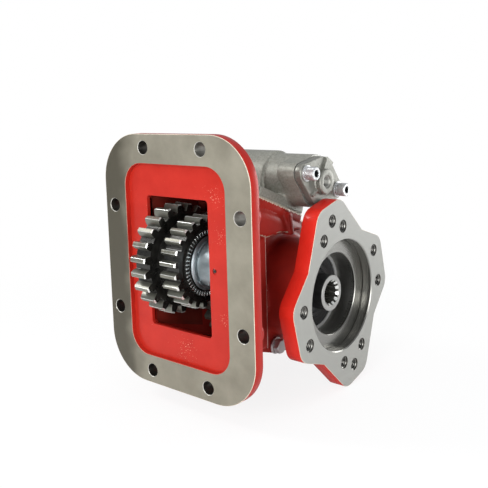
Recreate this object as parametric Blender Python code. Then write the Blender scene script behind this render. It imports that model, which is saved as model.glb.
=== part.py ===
"""Power take off unit with a side mounting flange, an input gear cluster on a fixed shaft,
an output gear in constant mesh, a sliding dog ring and an air cylinder that shifts it.

Everything is in millimetres below and is turned into metres where a mesh is made.
The origin is the centre of the opening in the mounting face. The shafts run along X, the
mounting face looks along -Y and +Z is up."""
import math

import bpy
import bmesh
from mathutils import Matrix

MM = 0.001
GAP = 0.3            # clearance left between pieces that touch
WELD = 0.005         # points closer than this after a boolean are one point

# Mounting flange, with its face in the plane Y = 0
MOUNT_HALF_WIDTH = 84.85
MOUNT_HALF_HEIGHT = 111.9
MOUNT_CORNER = 42.0
MOUNT_THICKNESS = 10.0
POCKET_HALF_WIDTH = 58.0
POCKET_HALF_HEIGHT = 86.0
POCKET_CORNER = 20.0
POCKET_DEPTH = 4.6
WINDOW_HALF_WIDTH = 35.6
WINDOW_HALF_HEIGHT = 58.1
WINDOW_CORNER = 3.0
MOUNT_HOLE_RADIUS = 5.95
MOUNT_HOLE_ENDS = (33.5, 100.0)       # half spacings of the holes at top and bottom
MOUNT_HOLE_SIDES = (73.15, 47.25)     # half spacings of the holes at the sides
PILOT_HOLE_RADIUS = 1.5
PILOT_HOLE_X = 41.0

# Gears and the two shaft axes
MODULE = 4.0
BIG_TEETH = 23
DRIVEN_TEETH = 30
SMALL_MODULE = 3.175
SMALL_TEETH = 24
ADDENDUM = 0.8       # stub teeth, as a share of the module
DEDENDUM = 1.0
PRESSURE_ANGLE = math.radians(20.0)
BACKLASH = 0.3
BIG_PHASE = math.radians(109.5)       # angle of one tooth of the big gear, from +Y towards +Z
SMALL_PHASE = math.radians(98.2)
INPUT_Y = 26.0
INPUT_Z = 0.0
CENTRE_LINE_FALL = math.radians(22.4)  # the output shaft lies behind and below the input shaft
BIG_LEFT = -30.6
GEAR_WIDTH = 17.0
SMALL_LEFT = -4.3
SMALL_WIDTH = 17.9
HUB_RADIUS = 33.5
COLLAR_END = 16.2
INPUT_COLLAR_RADIUS = 26.8

# Idler shaft and its small parts
IDLER_RADIUS = 20.0
IDLER_LEFT = -47.0
IDLER_RIGHT = 44.5
WASHER_RADIUS = 25.0
NEEDLE_RADIUS = 1.7
NEEDLE_COUNT = 9
NEEDLE_CAGE_LENGTH = 16.0
CIRCLIP_THICKNESS = 1.5
CIRCLIP_DEPTH = 1.5
PIN_RADIUS = 1.2                      # holds the idler shaft, at the foot of the pilot hole
PIN_BACK = 14.0

# Housing
WALL = 5.0
RUNNING_ROOM = 2.8                    # free space around the driven gear
CASE_FRONT = MOUNT_THICKNESS + GAP    # the case is a node of its own behind the plate
BLOCK_FRONT = MOUNT_THICKNESS - 2     # its parts are drawn from here and cut off at CASE_FRONT
LEFT_FACE = -44.0
LEFT_WALL = 7.0
BOX_RIGHT = 42.0
BOX_BACK = 70.0
BOX_CORNER = 5.0
DRUM_STEP = -7.6
DRUM_RIGHT = 25.0
DRUM_RADIUS = 66.0
SIDE_WALL = 6.0
FRONT_LOW = -70.0
FRONT_HIGH = 43.0
BOX_FALL = 21.2                       # how far the bottom of the box drops towards the back
CAVITY_FALL = 18.0
BLOCK_RIGHT = 44.0
BLOCK_LEDGE = ((24.0, 8.0), (22.0, 63.6), (17.0, 76.5), (15.0, 124.0))  # Z and Y of its lower edge
RIB_Y = 101.0
RIB_WIDTH = 4.0
RIB_FOOT = 16.5
RIM_RIGHT = 46.0
RIM_LEFT = -62.0
RIM_THICKNESS = 6.6
NECK_RADIUS = 47.0
NECK_FILLET = 3.0
NECK_SEAM = 62.0                      # the flange end of the neck is a node of its own
BOSS_LEFT = -48.0
BOSS_RIGHT = 48.0
BOSS_RADIUS = 26.0
BEARING_BOSS_LEFT = -58.0
BEARING_BOSS_RADIUS = 42.0

# Inclined pad and the cylinder, in a frame tilted about X: S runs back along the pad, N is its normal
PAD_TILT = math.radians(21.8)
PAD_N = 73.6
PAD_FRONT_S = 34.0
PAD_BACK_S = 102.1
PAD_PROUD = 0.6                       # the machined pad stands a little above the rough casting
CYLINDER_S = 85.9
CYLINDER_N = 102.5
GASKET = 0.7
FOOT_THICKNESS = 8.1
SLOT_X = (-10.0, 14.0)
SLOT_S = (77.0, 95.0)
SLOT_LOW_N = 40.0

# Output flange, bearings and seal
FLANGE_FACE = 90.0
FLANGE_THICKNESS = 15.0
FLANGE_BASE_RADIUS = 63.0
PILOT_RADIUS = 50.8
PILOT_DEPTH = 10.2
SEAL_BORE = 37.5
TWO_BOLT_RADIUS = 73.0
TWO_BOLT_ANGLE = 104.0
FOUR_BOLT_RADIUS = 63.5
FOUR_BOLT_ANGLES = (0.0, 29.5)
THREAD_RADIUS = 5.4
TALL_LOBE_RADIUS = 15.5
TALL_LOBE_SPREAD = 10.0
SIDE_LOBE_RADIUS = 15.3
FLANGE_STEPS = 60
ROUND_STEPS = 26
SEAL_STEPS = 16
SHOULDER_X = 32.0
SHOULDER_RADIUS = 30.0
BEARING_WIDTH = 17.0
LEFT_BEARING_X = -57.2
LEFT_BEARING_WIDTH = 15.9
LEFT_BEARING_RADIUS = 31.0
SEAL_WIDTH = 9.0

# Output shaft, driven gear and dog ring
SHAFT_LEFT = -56.5
SHAFT_LEFT_RADIUS = 15.0
SHAFT_RADIUS = 20.0
SHAFT_COLLAR = 27.0
SPLINE_RIGHT = 18.0
SPLINE_TEETH = 12
SPLINE_LOW = 21.0
SPLINE_HIGH = 24.0
SPLINE_WIDTH = 6.0
HUB_END_RADIUS = 16.6
HUB_END = 77.2
HUB_SHOULDER = 60.9
OUTLET_TEETH = 13
OUTLET_LOW = 10.2
OUTLET_HIGH = 12.0
OUTLET_DEPTH = 32.0
DOG_COUNT = 8
DOG_WIDTH = 17.0                      # degrees
DOG_INNER = 33.0
DOG_OUTER = 45.0
DOG_HEIGHT = 6.6
DOG_CLEARANCE = 0.8
STROKE = 6.5
RING_WIDTH = 13.0
RING_RADIUS = 42.0
GROOVE_RADIUS = 34.0
GROOVE_WIDTH = 6.0
FORK_THICKNESS = 5.4
FORK_OUTER = 50.0
FORK_HUB_RADIUS = 11.0
FORK_ARM_HALF = 7.0
FORK_PIN_RADIUS = 1.7

# Cylinder
BODY_LEFT = -44.0
BODY_RADIUS = 26.5
WEB_FRONT_S = 60.0                    # where the body's front side meets the foot
COLLAR_LEFT = 25.0
COLLAR_RIGHT = 42.0
COLLAR_RADIUS = 26.0
BARREL_RADIUS = 23.5
EAR_FLANGE = 61.0
COVER_JOINT = 65.5
COVER_FACE = 70.0
COVER_RADIUS = 22.5
EAR_RADIUS = 9.0
SCREW_SPACING = 26.6
PORT_RADIUS = 11.5
PORT_LENGTH = 6.0
PORT_BORE = 5.5
BORE_RADIUS = 16.0
BORE_LEFT = 20.0
PARTITION = 6.0
FORK_ROOM = 17.0
ROD_RADIUS = 6.0
ROD_LEFT = -24.0
PISTON_LEFT = 40.0
PISTON_WIDTH = 12.0
SPRING_RADIUS = 10.5
SPRING_WIRE = 1.2
SPRING_TURNS = 4.0
SCREW_SHANK = 3.7
SCREW_HEAD = 6.0
FOOT_BOLTS = ((-30.0, 44.0), (24.0, 44.0), (-54.0, 62.0), (-54.0, 94.0))   # X and S
COVER_BOLT_RADIUS = 36.6
DRAIN_Y = -18.8                       # from the output axis
DRAIN_Z = -55.1

CENTRE_DISTANCE = MODULE * (BIG_TEETH + DRIVEN_TEETH) / 2
OUTPUT_Y = INPUT_Y + CENTRE_DISTANCE * math.cos(CENTRE_LINE_FALL)
OUTPUT_Z = INPUT_Z - CENTRE_DISTANCE * math.sin(CENTRE_LINE_FALL)
DRIVEN_TIP = MODULE * (DRIVEN_TEETH / 2 + ADDENDUM)
BIG_RIGHT = BIG_LEFT + GEAR_WIDTH
SMALL_RIGHT = SMALL_LEFT + SMALL_WIDTH
BEARING_BORE = IDLER_RADIUS + 2 * NEEDLE_RADIUS + 2 * GAP
INNER_LEFT = LEFT_FACE + LEFT_WALL
BOX_INNER_RIGHT = BOX_RIGHT - WALL
DRUM_INNER_RIGHT = DRUM_RIGHT - SIDE_WALL
PAD_INNER_N = PAD_N - RIM_THICKNESS
ROUGH_N = PAD_N - PAD_PROUD
FLANGE_BACK = FLANGE_FACE - FLANGE_THICKNESS
FOOT_BOTTOM = PAD_N + GASKET + 2 * GAP
SHIFT_BOTTOM = FOOT_BOTTOM - CYLINDER_N
RING_LEFT = BIG_RIGHT + DOG_HEIGHT + DOG_CLEARANCE + DOG_HEIGHT - 0.4
GROOVE_LEFT = RING_LEFT + (RING_WIDTH - GROOVE_WIDTH) / 2
FORK_LEFT = GROOVE_LEFT + (GROOVE_WIDTH - FORK_THICKNESS) / 2

# Frames that a piece is placed by: its own axis is its X axis
WORLD = Matrix.Identity(4)
INPUT = Matrix.Translation((0, INPUT_Y * MM, INPUT_Z * MM))
OUTPUT = Matrix.Translation((0, OUTPUT_Y * MM, OUTPUT_Z * MM))
TILTED = Matrix.Rotation(-PAD_TILT, 4, "X")
SHIFT = TILTED @ Matrix.Translation((0, CYLINDER_S * MM, CYLINDER_N * MM))


def clear_scene():
    for thing in list(bpy.data.objects):
        bpy.data.objects.remove(thing, do_unlink=True)


# Outlines

def circle(radius, steps=20, y=0.0, z=0.0):
    """Points of a circle in a plane."""
    turns = [2 * math.pi * i / steps for i in range(steps)]
    return [(y + radius * math.cos(a), z + radius * math.sin(a)) for a in turns]


def arc(radius, start, end, steps, y=0.0, z=0.0):
    """Points along an arc, with the angles in degrees."""
    turns = [math.radians(start + (end - start) * i / steps) for i in range(steps + 1)]
    return [(y + radius * math.cos(a), z + radius * math.sin(a)) for a in turns]


def rounded(half_width, half_height, corner, steps=6):
    """A rectangle with round corners."""
    points = []
    for start, sx, sz in ((0, 1, 1), (90, -1, 1), (180, -1, -1), (270, 1, -1)):
        points += arc(corner, start, start + 90, steps,
                      sx * (half_width - corner), sz * (half_height - corner))
    return points


def hull(points):
    """The convex outline around a set of points."""
    ordered = sorted(set(points))

    def chain(run):
        out = []
        for p in run:
            while len(out) > 1 and cross(out[-2], out[-1], p) <= 0:
                out.pop()
            out.append(p)
        return out[:-1]

    return chain(ordered) + chain(reversed(ordered))


def cross(a, b, c):
    return (b[0] - a[0]) * (c[1] - a[1]) - (b[1] - a[1]) * (c[0] - a[0])


def tilted(s, n):
    """World Y and Z of a point given along the inclined pad and along its normal."""
    return (s * math.cos(PAD_TILT) + n * math.sin(PAD_TILT),
            n * math.cos(PAD_TILT) - s * math.sin(PAD_TILT))


def height_at(y, n):
    """World Z at a given Y on the plane that lies N along the pad's normal."""
    return (n - y * math.sin(PAD_TILT)) / math.cos(PAD_TILT)


def gear_outline(teeth, module, phase):
    """Stub teeth with the roots and tips of an involute, thinned by the backlash."""
    pitch = module * teeth / 2
    base = pitch * math.cos(PRESSURE_ANGLE)
    root = pitch - DEDENDUM * module
    tip = pitch + ADDENDUM * module
    half = (math.pi * module / 2 - BACKLASH) / (2 * pitch)

    def involute(a):
        return math.tan(a) - a

    flank = []
    for radius in (root, tip):
        turn = math.acos(min(1.0, base / radius))
        flank.append((radius, half + involute(PRESSURE_ANGLE) - involute(turn)))
    points = []
    for k in range(teeth):
        middle = phase + 2 * math.pi * k / teeth
        sides = [(r, middle - a) for r, a in flank] + [(r, middle + a) for r, a in reversed(flank)]
        points += [(r * math.cos(a), r * math.sin(a)) for r, a in sides]
    return points


def spline_outline(teeth, low, high, width, spare=0.0, taper=0.8, phase=0.0):
    """Straight teeth between two radii. The spare room widens them all round."""
    points = []
    for k in range(teeth):
        middle = phase + 2 * math.pi * k / teeth
        foot = (width / 2 + spare) / (low + spare)
        crown = (width * taper / 2 + spare) / (high + spare)
        for radius, turn in ((low, -foot), (high, -crown), (high, crown), (low, foot)):
            a = middle + turn
            points.append(((radius + spare) * math.cos(a), (radius + spare) * math.sin(a)))
    return points


def sector(inner, outer, start, end, steps=6):
    """Part of a ring, with the angles in degrees."""
    return arc(inner, start, end, steps) + arc(outer, end, start, steps)


# Solids. Each comes back as an object whose own axis is X, Y or Z.

def new_object(bm):
    bmesh.ops.recalc_face_normals(bm, faces=bm.faces)
    bmesh.ops.scale(bm, vec=(MM, MM, MM), verts=bm.verts)
    mesh = bpy.data.meshes.new("solid")
    bm.to_mesh(mesh)
    bm.free()
    thing = bpy.data.objects.new("solid", mesh)
    bpy.context.scene.collection.objects.link(thing)
    return thing


def prism(outline, low, high, axis="X"):
    """An outline drawn out along an axis. It lies in YZ, XZ or XY."""
    bm = bmesh.new()
    order = {"X": (2, 0, 1), "Y": (0, 2, 1), "Z": (0, 1, 2)}[axis]
    rings = []
    for level in (low, high):
        corners = [(u, v, level) for u, v in outline]
        rings.append([bm.verts.new([c[i] for i in order]) for c in corners])
    bm.faces.new(rings[0])
    bm.faces.new(rings[1])
    for i in range(len(outline)):
        bm.faces.new((rings[0][i - 1], rings[0][i], rings[1][i], rings[1][i - 1]))
    return new_object(bm)


def turned(profile, steps=20):
    """A closed profile of (x, radius) points turned about the X axis."""
    bm = bmesh.new()
    rings = []
    for x, radius in profile:
        if radius == 0:
            rings.append([bm.verts.new((x, 0, 0))])
        else:
            rings.append([bm.verts.new((x, y, z)) for y, z in circle(radius, steps)])
    for a, b in zip(rings, rings[1:] + rings[:1]):
        if len(a) == 1 and len(b) == 1:
            continue
        for i in range(steps):
            corners = [a[(i - 1) % len(a)], a[i % len(a)], b[i % len(b)], b[(i - 1) % len(b)]]
            bm.faces.new(list(dict.fromkeys(corners)))
    return new_object(bm)


def tube(low, high, inner, outer, steps=20):
    """A plain ring or sleeve."""
    return turned([(low, inner), (high, inner), (high, outer), (low, outer)], steps)


def rod(low, high, radius, steps=20, chamfer=0.0):
    profile = [(low, 0), (high, 0), (high, radius - chamfer)]
    if chamfer:
        profile += [(high - chamfer, radius), (low + chamfer, radius)]
    profile.append((low, radius - chamfer))
    return turned(profile, steps)


def moved(thing, x=0.0, y=0.0, z=0.0):
    thing.data.transform(Matrix.Translation((x * MM, y * MM, z * MM)))
    return thing


def framed(thing, frame):
    thing.data.transform(frame)
    return thing


def combine(body, tool, operation):
    """Union, difference or intersection of two solids; the tool is used up."""
    modifier = body.modifiers.new("combine", "BOOLEAN")
    modifier.operation = operation
    modifier.solver = "EXACT"
    modifier.object = tool
    depsgraph = bpy.context.evaluated_depsgraph_get()
    mesh = bpy.data.meshes.new_from_object(body.evaluated_get(depsgraph))
    body.modifiers.clear()
    bm = bmesh.new()
    bm.from_mesh(mesh)
    bmesh.ops.remove_doubles(bm, verts=bm.verts, dist=WELD * MM)
    bm.to_mesh(mesh)
    bm.free()
    body.data = mesh
    bpy.data.objects.remove(tool, do_unlink=True)
    return body


def fuse(body, *others):
    for other in others:
        combine(body, other, "UNION")
    return body


def cut(body, *tools):
    for tool in tools:
        combine(body, tool, "DIFFERENCE")
    return body


def gather(solids):
    """Separate cutters held in one mesh, so that one cut makes them all."""
    bm = bmesh.new()
    for solid in solids:
        bm.from_mesh(solid.data)
        bpy.data.objects.remove(solid, do_unlink=True)
    mesh = bpy.data.meshes.new("cutters")
    bm.to_mesh(mesh)
    bm.free()
    thing = bpy.data.objects.new("cutters", mesh)
    bpy.context.scene.collection.objects.link(thing)
    return thing


def hex_bolt(shank_low, seat, head_high, shank, flats, steps=12):
    """A bolt along X with its head on the high side."""
    head = prism(circle(flats / math.sqrt(3), 6), seat, head_high)
    return fuse(head, rod(shank_low, seat + 1, shank, steps))


def socket_screw(shank_low, seat, head_high, shank, head, socket):
    """A cap screw along X with a hexagon socket in its head."""
    screw = turned([(shank_low, 0), (shank_low, shank), (seat, shank), (seat, head),
                    (head_high, head), (head_high, 0)], 9)
    return cut(screw, prism(circle(socket, 6), head_high - 4.5, head_high + 1))


# Materials and finishing

def material(name, colour, metallic, roughness):
    made = bpy.data.materials.new(name)
    made.use_nodes = True
    shader = made.node_tree.nodes["Principled BSDF"]
    shader.inputs["Base Color"].default_value = (*colour, 1)
    shader.inputs["Metallic"].default_value = metallic
    shader.inputs["Roughness"].default_value = roughness
    made.diffuse_color = (*colour, 1)
    return made


def finish(thing, name, finish_material, frame=WORLD, sharp=35.0):
    """Names a piece, gives it its material and shading and puts it in its frame."""
    thing.name = name
    thing.data.name = name
    thing.data.materials.clear()
    thing.data.materials.append(finish_material)
    thing.data.shade_smooth()
    thing.data.set_sharp_from_angle(angle=math.radians(sharp))
    thing.matrix_world = frame
    return thing


# Housing

def flange_outline():
    """Lobes over the bolt holes, each blended into the round middle by straight sides."""
    base = circle(FLANGE_BASE_RADIUS, 96)
    lobes = []
    for turn in (0, 180):
        along = math.radians(TWO_BOLT_ANGLE + turn)
        tall = list(base)
        for spread in (-TALL_LOBE_SPREAD, TALL_LOBE_SPREAD):
            y = TWO_BOLT_RADIUS * math.cos(along) - spread * math.sin(along)
            z = TWO_BOLT_RADIUS * math.sin(along) + spread * math.cos(along)
            tall += circle(TALL_LOBE_RADIUS, 40, y, z)
        side = list(base)
        for angle in FOUR_BOLT_ANGLES:
            a = math.radians(angle + turn)
            side += circle(SIDE_LOBE_RADIUS, 40, FOUR_BOLT_RADIUS * math.cos(a),
                           FOUR_BOLT_RADIUS * math.sin(a))
        lobes += [hull(tall), hull(side)]
    points = []
    for step in range(FLANGE_STEPS):
        a = 2 * math.pi * step / FLANGE_STEPS
        reach = max(ray_reach(lobe, a) for lobe in lobes)
        points.append((reach * math.cos(a), reach * math.sin(a)))
    return points


def ray_reach(outline, angle):
    """How far a ray from the middle goes before it leaves an outline."""
    dy, dz = math.cos(angle), math.sin(angle)
    best = 0.0
    for (y0, z0), (y1, z1) in zip(outline, outline[1:] + outline[:1]):
        across = dy * (z1 - z0) - dz * (y1 - y0)
        if abs(across) < 1e-12:
            continue
        reach = (y0 * (z1 - z0) - z0 * (y1 - y0)) / across
        share = (dy * -z0 + dz * y0) / across
        if reach > best and -1e-9 <= share <= 1 + 1e-9:
            best = reach
    return best


def side_room(radius, low, top, pad, left, right):
    """From the mounting flange back round the output shaft, flat below the inclined pad."""
    outline = hull([(BLOCK_FRONT, low), (BLOCK_FRONT, top)] + circle(radius, 28, OUTPUT_Y, OUTPUT_Z))
    return cut(prism(outline, left, right), above_pad(pad, left - 1, right + 1))


def above_pad(level, left, right):
    """Everything over a level of the inclined pad, as far back as the pad goes."""
    back = PAD_BACK_S + 5 * GAP
    corners = [tilted(-60, level), tilted(back, level), tilted(back, 200), tilted(-60, 200)]
    return prism(corners, left, right)


def case_body():
    """The outside of the casting between its two flanges."""
    big_drum = side_room(DRIVEN_TIP + RUNNING_ROOM + WALL, FRONT_LOW, FRONT_HIGH, ROUGH_N,
                         LEFT_FACE, DRUM_STEP)
    small_drum = side_room(DRUM_RADIUS, FRONT_LOW, FRONT_HIGH, ROUGH_N - 1, DRUM_STEP - 1, DRUM_RIGHT)
    low = FRONT_LOW + WALL - 1
    box = prism([(BLOCK_FRONT, low), (BOX_BACK, low - BOX_FALL),
                 (BOX_BACK, height_at(BOX_BACK, ROUGH_N - 2)),
                 (BLOCK_FRONT, height_at(BLOCK_FRONT, ROUGH_N - 2))], LEFT_FACE + PAD_PROUD, BOX_RIGHT)
    plan = [(LEFT_FACE - 1, BLOCK_FRONT - 1), (BOX_RIGHT, BLOCK_FRONT - 1)]
    plan += arc(BOX_CORNER, 0, 90, 5, BOX_RIGHT - BOX_CORNER, BOX_BACK - BOX_CORNER)
    plan += [(LEFT_FACE - 1, BOX_BACK)]
    combine(box, prism(plan, -150, 150, "Z"), "INTERSECT")
    body = fuse(big_drum, small_drum, box, upper_block(), pad_rim(), neck(),
                shaft_boss(BOX_RIGHT - 2, BOSS_RIGHT), shaft_boss(BOSS_LEFT, LEFT_FACE + 2),
                bearing_boss())
    reach = 2 * MOUNT_HALF_HEIGHT
    before = [(-reach, -reach), (reach, -reach), (reach, reach), (-reach, reach)]
    return cut(body, prism(before, -reach, CASE_FRONT, "Y"))


def upper_block():
    """The wedge under the inclined pad, with a small rib on its right side."""
    ledge = [(y, z) for z, y in BLOCK_LEDGE]
    side = ledge + [tilted(PAD_BACK_S - PAD_PROUD, ROUGH_N), (BLOCK_FRONT, height_at(BLOCK_FRONT, ROUGH_N))]
    block = prism(side, LEFT_FACE + PAD_PROUD, BLOCK_RIGHT)
    back = RIB_Y + RIB_WIDTH
    rib = [(RIB_Y, RIB_FOOT), (back, RIB_FOOT), (back, height_at(back, PAD_N - 3)),
           (RIB_Y, height_at(RIB_Y, PAD_N - 3))]
    return fuse(block, prism(rib, BLOCK_RIGHT - 3, RIM_RIGHT - PAD_PROUD))


def pad_rim():
    """The machined pad that the shift cylinder stands on."""
    side = [tilted(PAD_FRONT_S - 12, PAD_INNER_N), tilted(PAD_BACK_S, PAD_INNER_N),
            tilted(PAD_BACK_S, PAD_N), tilted(PAD_FRONT_S - 12, PAD_N)]
    return prism(side, RIM_LEFT, RIM_RIGHT)


def neck():
    """Round bearing housing beside the drum, as far as the output flange's own node."""
    foot = NECK_RADIUS + NECK_FILLET
    return framed(turned([(DRUM_RIGHT - 3, 0), (DRUM_RIGHT - 3, foot), (DRUM_RIGHT, foot),
                          (DRUM_RIGHT + NECK_FILLET, NECK_RADIUS), (NECK_SEAM, NECK_RADIUS),
                          (NECK_SEAM, 0)], ROUND_STEPS), OUTPUT)


def flange_neck(paint):
    """The end of the neck, a sleeve whose collar is the floor of the pilot recess."""
    collar = PILOT_RADIUS * math.cos(math.pi / ROUND_STEPS) - GAP
    floor = FLANGE_FACE - PILOT_DEPTH
    sleeve = turned([(NECK_SEAM + GAP, SEAL_BORE), (NECK_SEAM + GAP, NECK_RADIUS),
                     (FLANGE_BACK - 2 * NECK_FILLET, NECK_RADIUS), (FLANGE_BACK - NECK_FILLET, collar),
                     (floor, collar), (floor, SEAL_BORE)], ROUND_STEPS)
    return finish(sleeve, "flange_neck", paint, OUTPUT)


def pump_flange(paint):
    """The lobed flange round the collar, with its pilot recess and threaded holes."""
    plate = prism(flange_outline(), FLANGE_BACK, FLANGE_FACE)
    pilot = rod(FLANGE_BACK - 1, FLANGE_FACE + 1, PILOT_RADIUS, ROUND_STEPS)
    return finish(cut(plate, pilot, flange_threads()), "pump_flange", paint, OUTPUT)


def mounting_flange(paint):
    """The plate at the front of the casting, with its pocket, window and bolt holes."""
    plate = prism(rounded(MOUNT_HALF_WIDTH, MOUNT_HALF_HEIGHT, MOUNT_CORNER), 0,
                  MOUNT_THICKNESS, "Y")
    window = prism(rounded(WINDOW_HALF_WIDTH, WINDOW_HALF_HEIGHT, WINDOW_CORNER, 3),
                   -1, MOUNT_THICKNESS + 1, "Y")
    pocket = prism(rounded(POCKET_HALF_WIDTH, POCKET_HALF_HEIGHT, POCKET_CORNER), -2,
                   POCKET_DEPTH, "Y")
    return finish(cut(plate, pocket, window, mount_holes(), idler_bore()), "mounting_flange", paint)


def shaft_boss(left, right):
    """One of the bosses round the ends of the idler shaft."""
    return framed(rod(left, right, BOSS_RADIUS, 32, 1.5), INPUT)


def bearing_boss():
    boss = rod(BEARING_BOSS_LEFT, LEFT_FACE + 2, BEARING_BOSS_RADIUS, 36)
    return framed(boss, OUTPUT)


def case_cavities():
    """The rooms that the gears turn in, and the way up to the shift cylinder."""
    front = MOUNT_THICKNESS - 1
    low = FRONT_LOW + 2 * WALL
    high = FRONT_HIGH - WALL
    box = prism([(front, low), (BOX_BACK - WALL, low - CAVITY_FALL),
                 (BOX_BACK - WALL, height_at(BOX_BACK - WALL, PAD_INNER_N)),
                 (front, height_at(front, PAD_INNER_N))], INNER_LEFT, BOX_INNER_RIGHT)
    left = side_room(DRIVEN_TIP + RUNNING_ROOM, low, high, PAD_INNER_N, INNER_LEFT,
                     DRUM_STEP - WALL)
    right = side_room(DRUM_RADIUS - WALL, low, high, PAD_INNER_N, DRUM_STEP - WALL - 1,
                      DRUM_INNER_RIGHT)
    passage = [tilted(SLOT_S[0], SLOT_LOW_N), tilted(SLOT_S[1], SLOT_LOW_N),
               tilted(SLOT_S[1], PAD_N + 1), tilted(SLOT_S[0], PAD_N + 1)]
    washer_seat = framed(rod(INNER_LEFT - 1, -WINDOW_HALF_WIDTH, WASHER_RADIUS + 1), INPUT)
    room = cut(fuse(box, left, right), washer_seat)
    return fuse(room, prism(passage, *SLOT_X))


def idler_bore():
    return framed(rod(BOSS_LEFT - 1, IDLER_RIGHT + GAP, IDLER_RADIUS + GAP), INPUT)


def bores():
    """Round holes on the two shaft axes."""
    left = turned([(BEARING_BOSS_LEFT - 1, 0), (BEARING_BOSS_LEFT - 1, LEFT_BEARING_RADIUS + GAP),
                   (LEFT_BEARING_X + LEFT_BEARING_WIDTH + GAP, LEFT_BEARING_RADIUS + GAP),
                   (LEFT_BEARING_X + LEFT_BEARING_WIDTH + GAP, 26.0), (INNER_LEFT + 2, 26.0),
                   (INNER_LEFT + 2, 0)], 24)
    clip = SHOULDER_X + GAP + BEARING_WIDTH + GAP + SEAL_WIDTH + GAP
    right = turned([(DRUM_INNER_RIGHT - 2, 0), (DRUM_INNER_RIGHT - 2, SHOULDER_RADIUS),
                   (SHOULDER_X, SHOULDER_RADIUS), (SHOULDER_X, SEAL_BORE),
                   (clip - 0.1, SEAL_BORE), (clip - 0.1, SEAL_BORE + CIRCLIP_DEPTH + GAP),
                   (clip + CIRCLIP_THICKNESS + GAP, SEAL_BORE + CIRCLIP_DEPTH + GAP),
                   (clip + CIRCLIP_THICKNESS + GAP, SEAL_BORE),
                   (NECK_SEAM + 1, SEAL_BORE), (NECK_SEAM + 1, 0)], ROUND_STEPS)
    return [idler_bore(), framed(gather([left, right]), OUTPUT)]


def mount_holes():
    holes = []
    for (x, z) in (MOUNT_HOLE_ENDS, MOUNT_HOLE_SIDES):
        for sx in (-1, 1):
            for sz in (-1, 1):
                outline = circle(MOUNT_HOLE_RADIUS, 10, sx * x, sz * z)
                holes.append(prism(outline, -1, MOUNT_THICKNESS + 1, "Y"))
    holes.append(prism(circle(PILOT_HOLE_RADIUS, 10, PILOT_HOLE_X), 0, POCKET_DEPTH + 3.5, "Y"))
    return gather(holes)


def flange_threads():
    """The ten threaded holes of the output flange."""
    holes = []
    for turn in (0, 90, 180, 270):
        for angle in FOUR_BOLT_ANGLES:
            holes.append((FOUR_BOLT_RADIUS, angle + turn))
    for turn in (0, 180):
        holes.append((TWO_BOLT_RADIUS, TWO_BOLT_ANGLE + turn))
    tools = []
    for radius, angle in holes:
        a = math.radians(angle)
        outline = circle(THREAD_RADIUS, 8, radius * math.cos(a), radius * math.sin(a))
        tools.append(prism(outline, FLANGE_BACK - 2, FLANGE_FACE + 1))
    return gather(tools)


def small_holes():
    """Holes for the bolts and the drain plug that go into the casting."""
    tools = []
    for k in range(4):
        a = math.radians(45 + 90 * k)
        hole = rod(BEARING_BOSS_LEFT - 1, BEARING_BOSS_LEFT + 11, 3.0 + GAP, 8)
        tools.append(framed(moved(hole, 0, COVER_BOLT_RADIUS * math.cos(a),
                                  COVER_BOLT_RADIUS * math.sin(a)), OUTPUT))
    drain = rod(DRUM_INNER_RIGHT - 2, DRUM_RIGHT + 1, 5.0 + GAP, 12)
    tools.append(framed(moved(drain, 0, DRAIN_Y, DRAIN_Z), OUTPUT))
    for x, s in FOOT_BOLTS:
        hole = prism(circle(SCREW_SHANK + GAP, 10, x, s), PAD_INNER_N - 0.5, PAD_N + 1, "Z")
        tools.append(framed(hole, TILTED))
    return tools


def housing(paint):
    body = case_body()
    cut(body, case_cavities(), *bores(), *small_holes())
    return finish(body, "housing", paint)


# Input gear cluster and what carries it

def input_gear(steel):
    """Two gears on one hub, with a short collar at the right end."""
    big = prism(gear_outline(BIG_TEETH, MODULE, BIG_PHASE), BIG_LEFT, BIG_RIGHT)
    small = prism(gear_outline(SMALL_TEETH, SMALL_MODULE, SMALL_PHASE), SMALL_LEFT, SMALL_RIGHT)
    middle = rod(BIG_RIGHT - 1, SMALL_LEFT + 1, HUB_RADIUS)
    collar = rod(SMALL_RIGHT - 1, COLLAR_END, INPUT_COLLAR_RADIUS)
    cluster = fuse(big, small, middle, collar)
    bore = rod(BIG_LEFT - 1, COLLAR_END + 1, BEARING_BORE)
    return finish(cut(cluster, bore), "input_gear", steel, INPUT, 30)


def caged_row(low, high, count, middle, ball, web):
    """A cage ring with its rollers or balls standing proud on both sides."""
    pitch = 2 * math.pi / count
    outer = []
    inner = []
    for k in range(count):
        for share, proud in ((-0.55, False), (-0.25, True), (0.25, True), (0.55, False)):
            a = pitch * k + 2 * share * ball / middle
            reach = ball if proud else web
            outer.append(((middle + reach) * math.cos(a), (middle + reach) * math.sin(a)))
            inner.append(((middle - reach) * math.cos(a), (middle - reach) * math.sin(a)))
    return cut(prism(outer, low, high), prism(inner, low - 1, high + 1))


def needle_cage(name, low, steel, frame):
    row = caged_row(low, low + NEEDLE_CAGE_LENGTH, NEEDLE_COUNT, IDLER_RADIUS + GAP + NEEDLE_RADIUS,
                    NEEDLE_RADIUS, 0.5 * NEEDLE_RADIUS)
    return finish(row, name, steel, frame)


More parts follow.
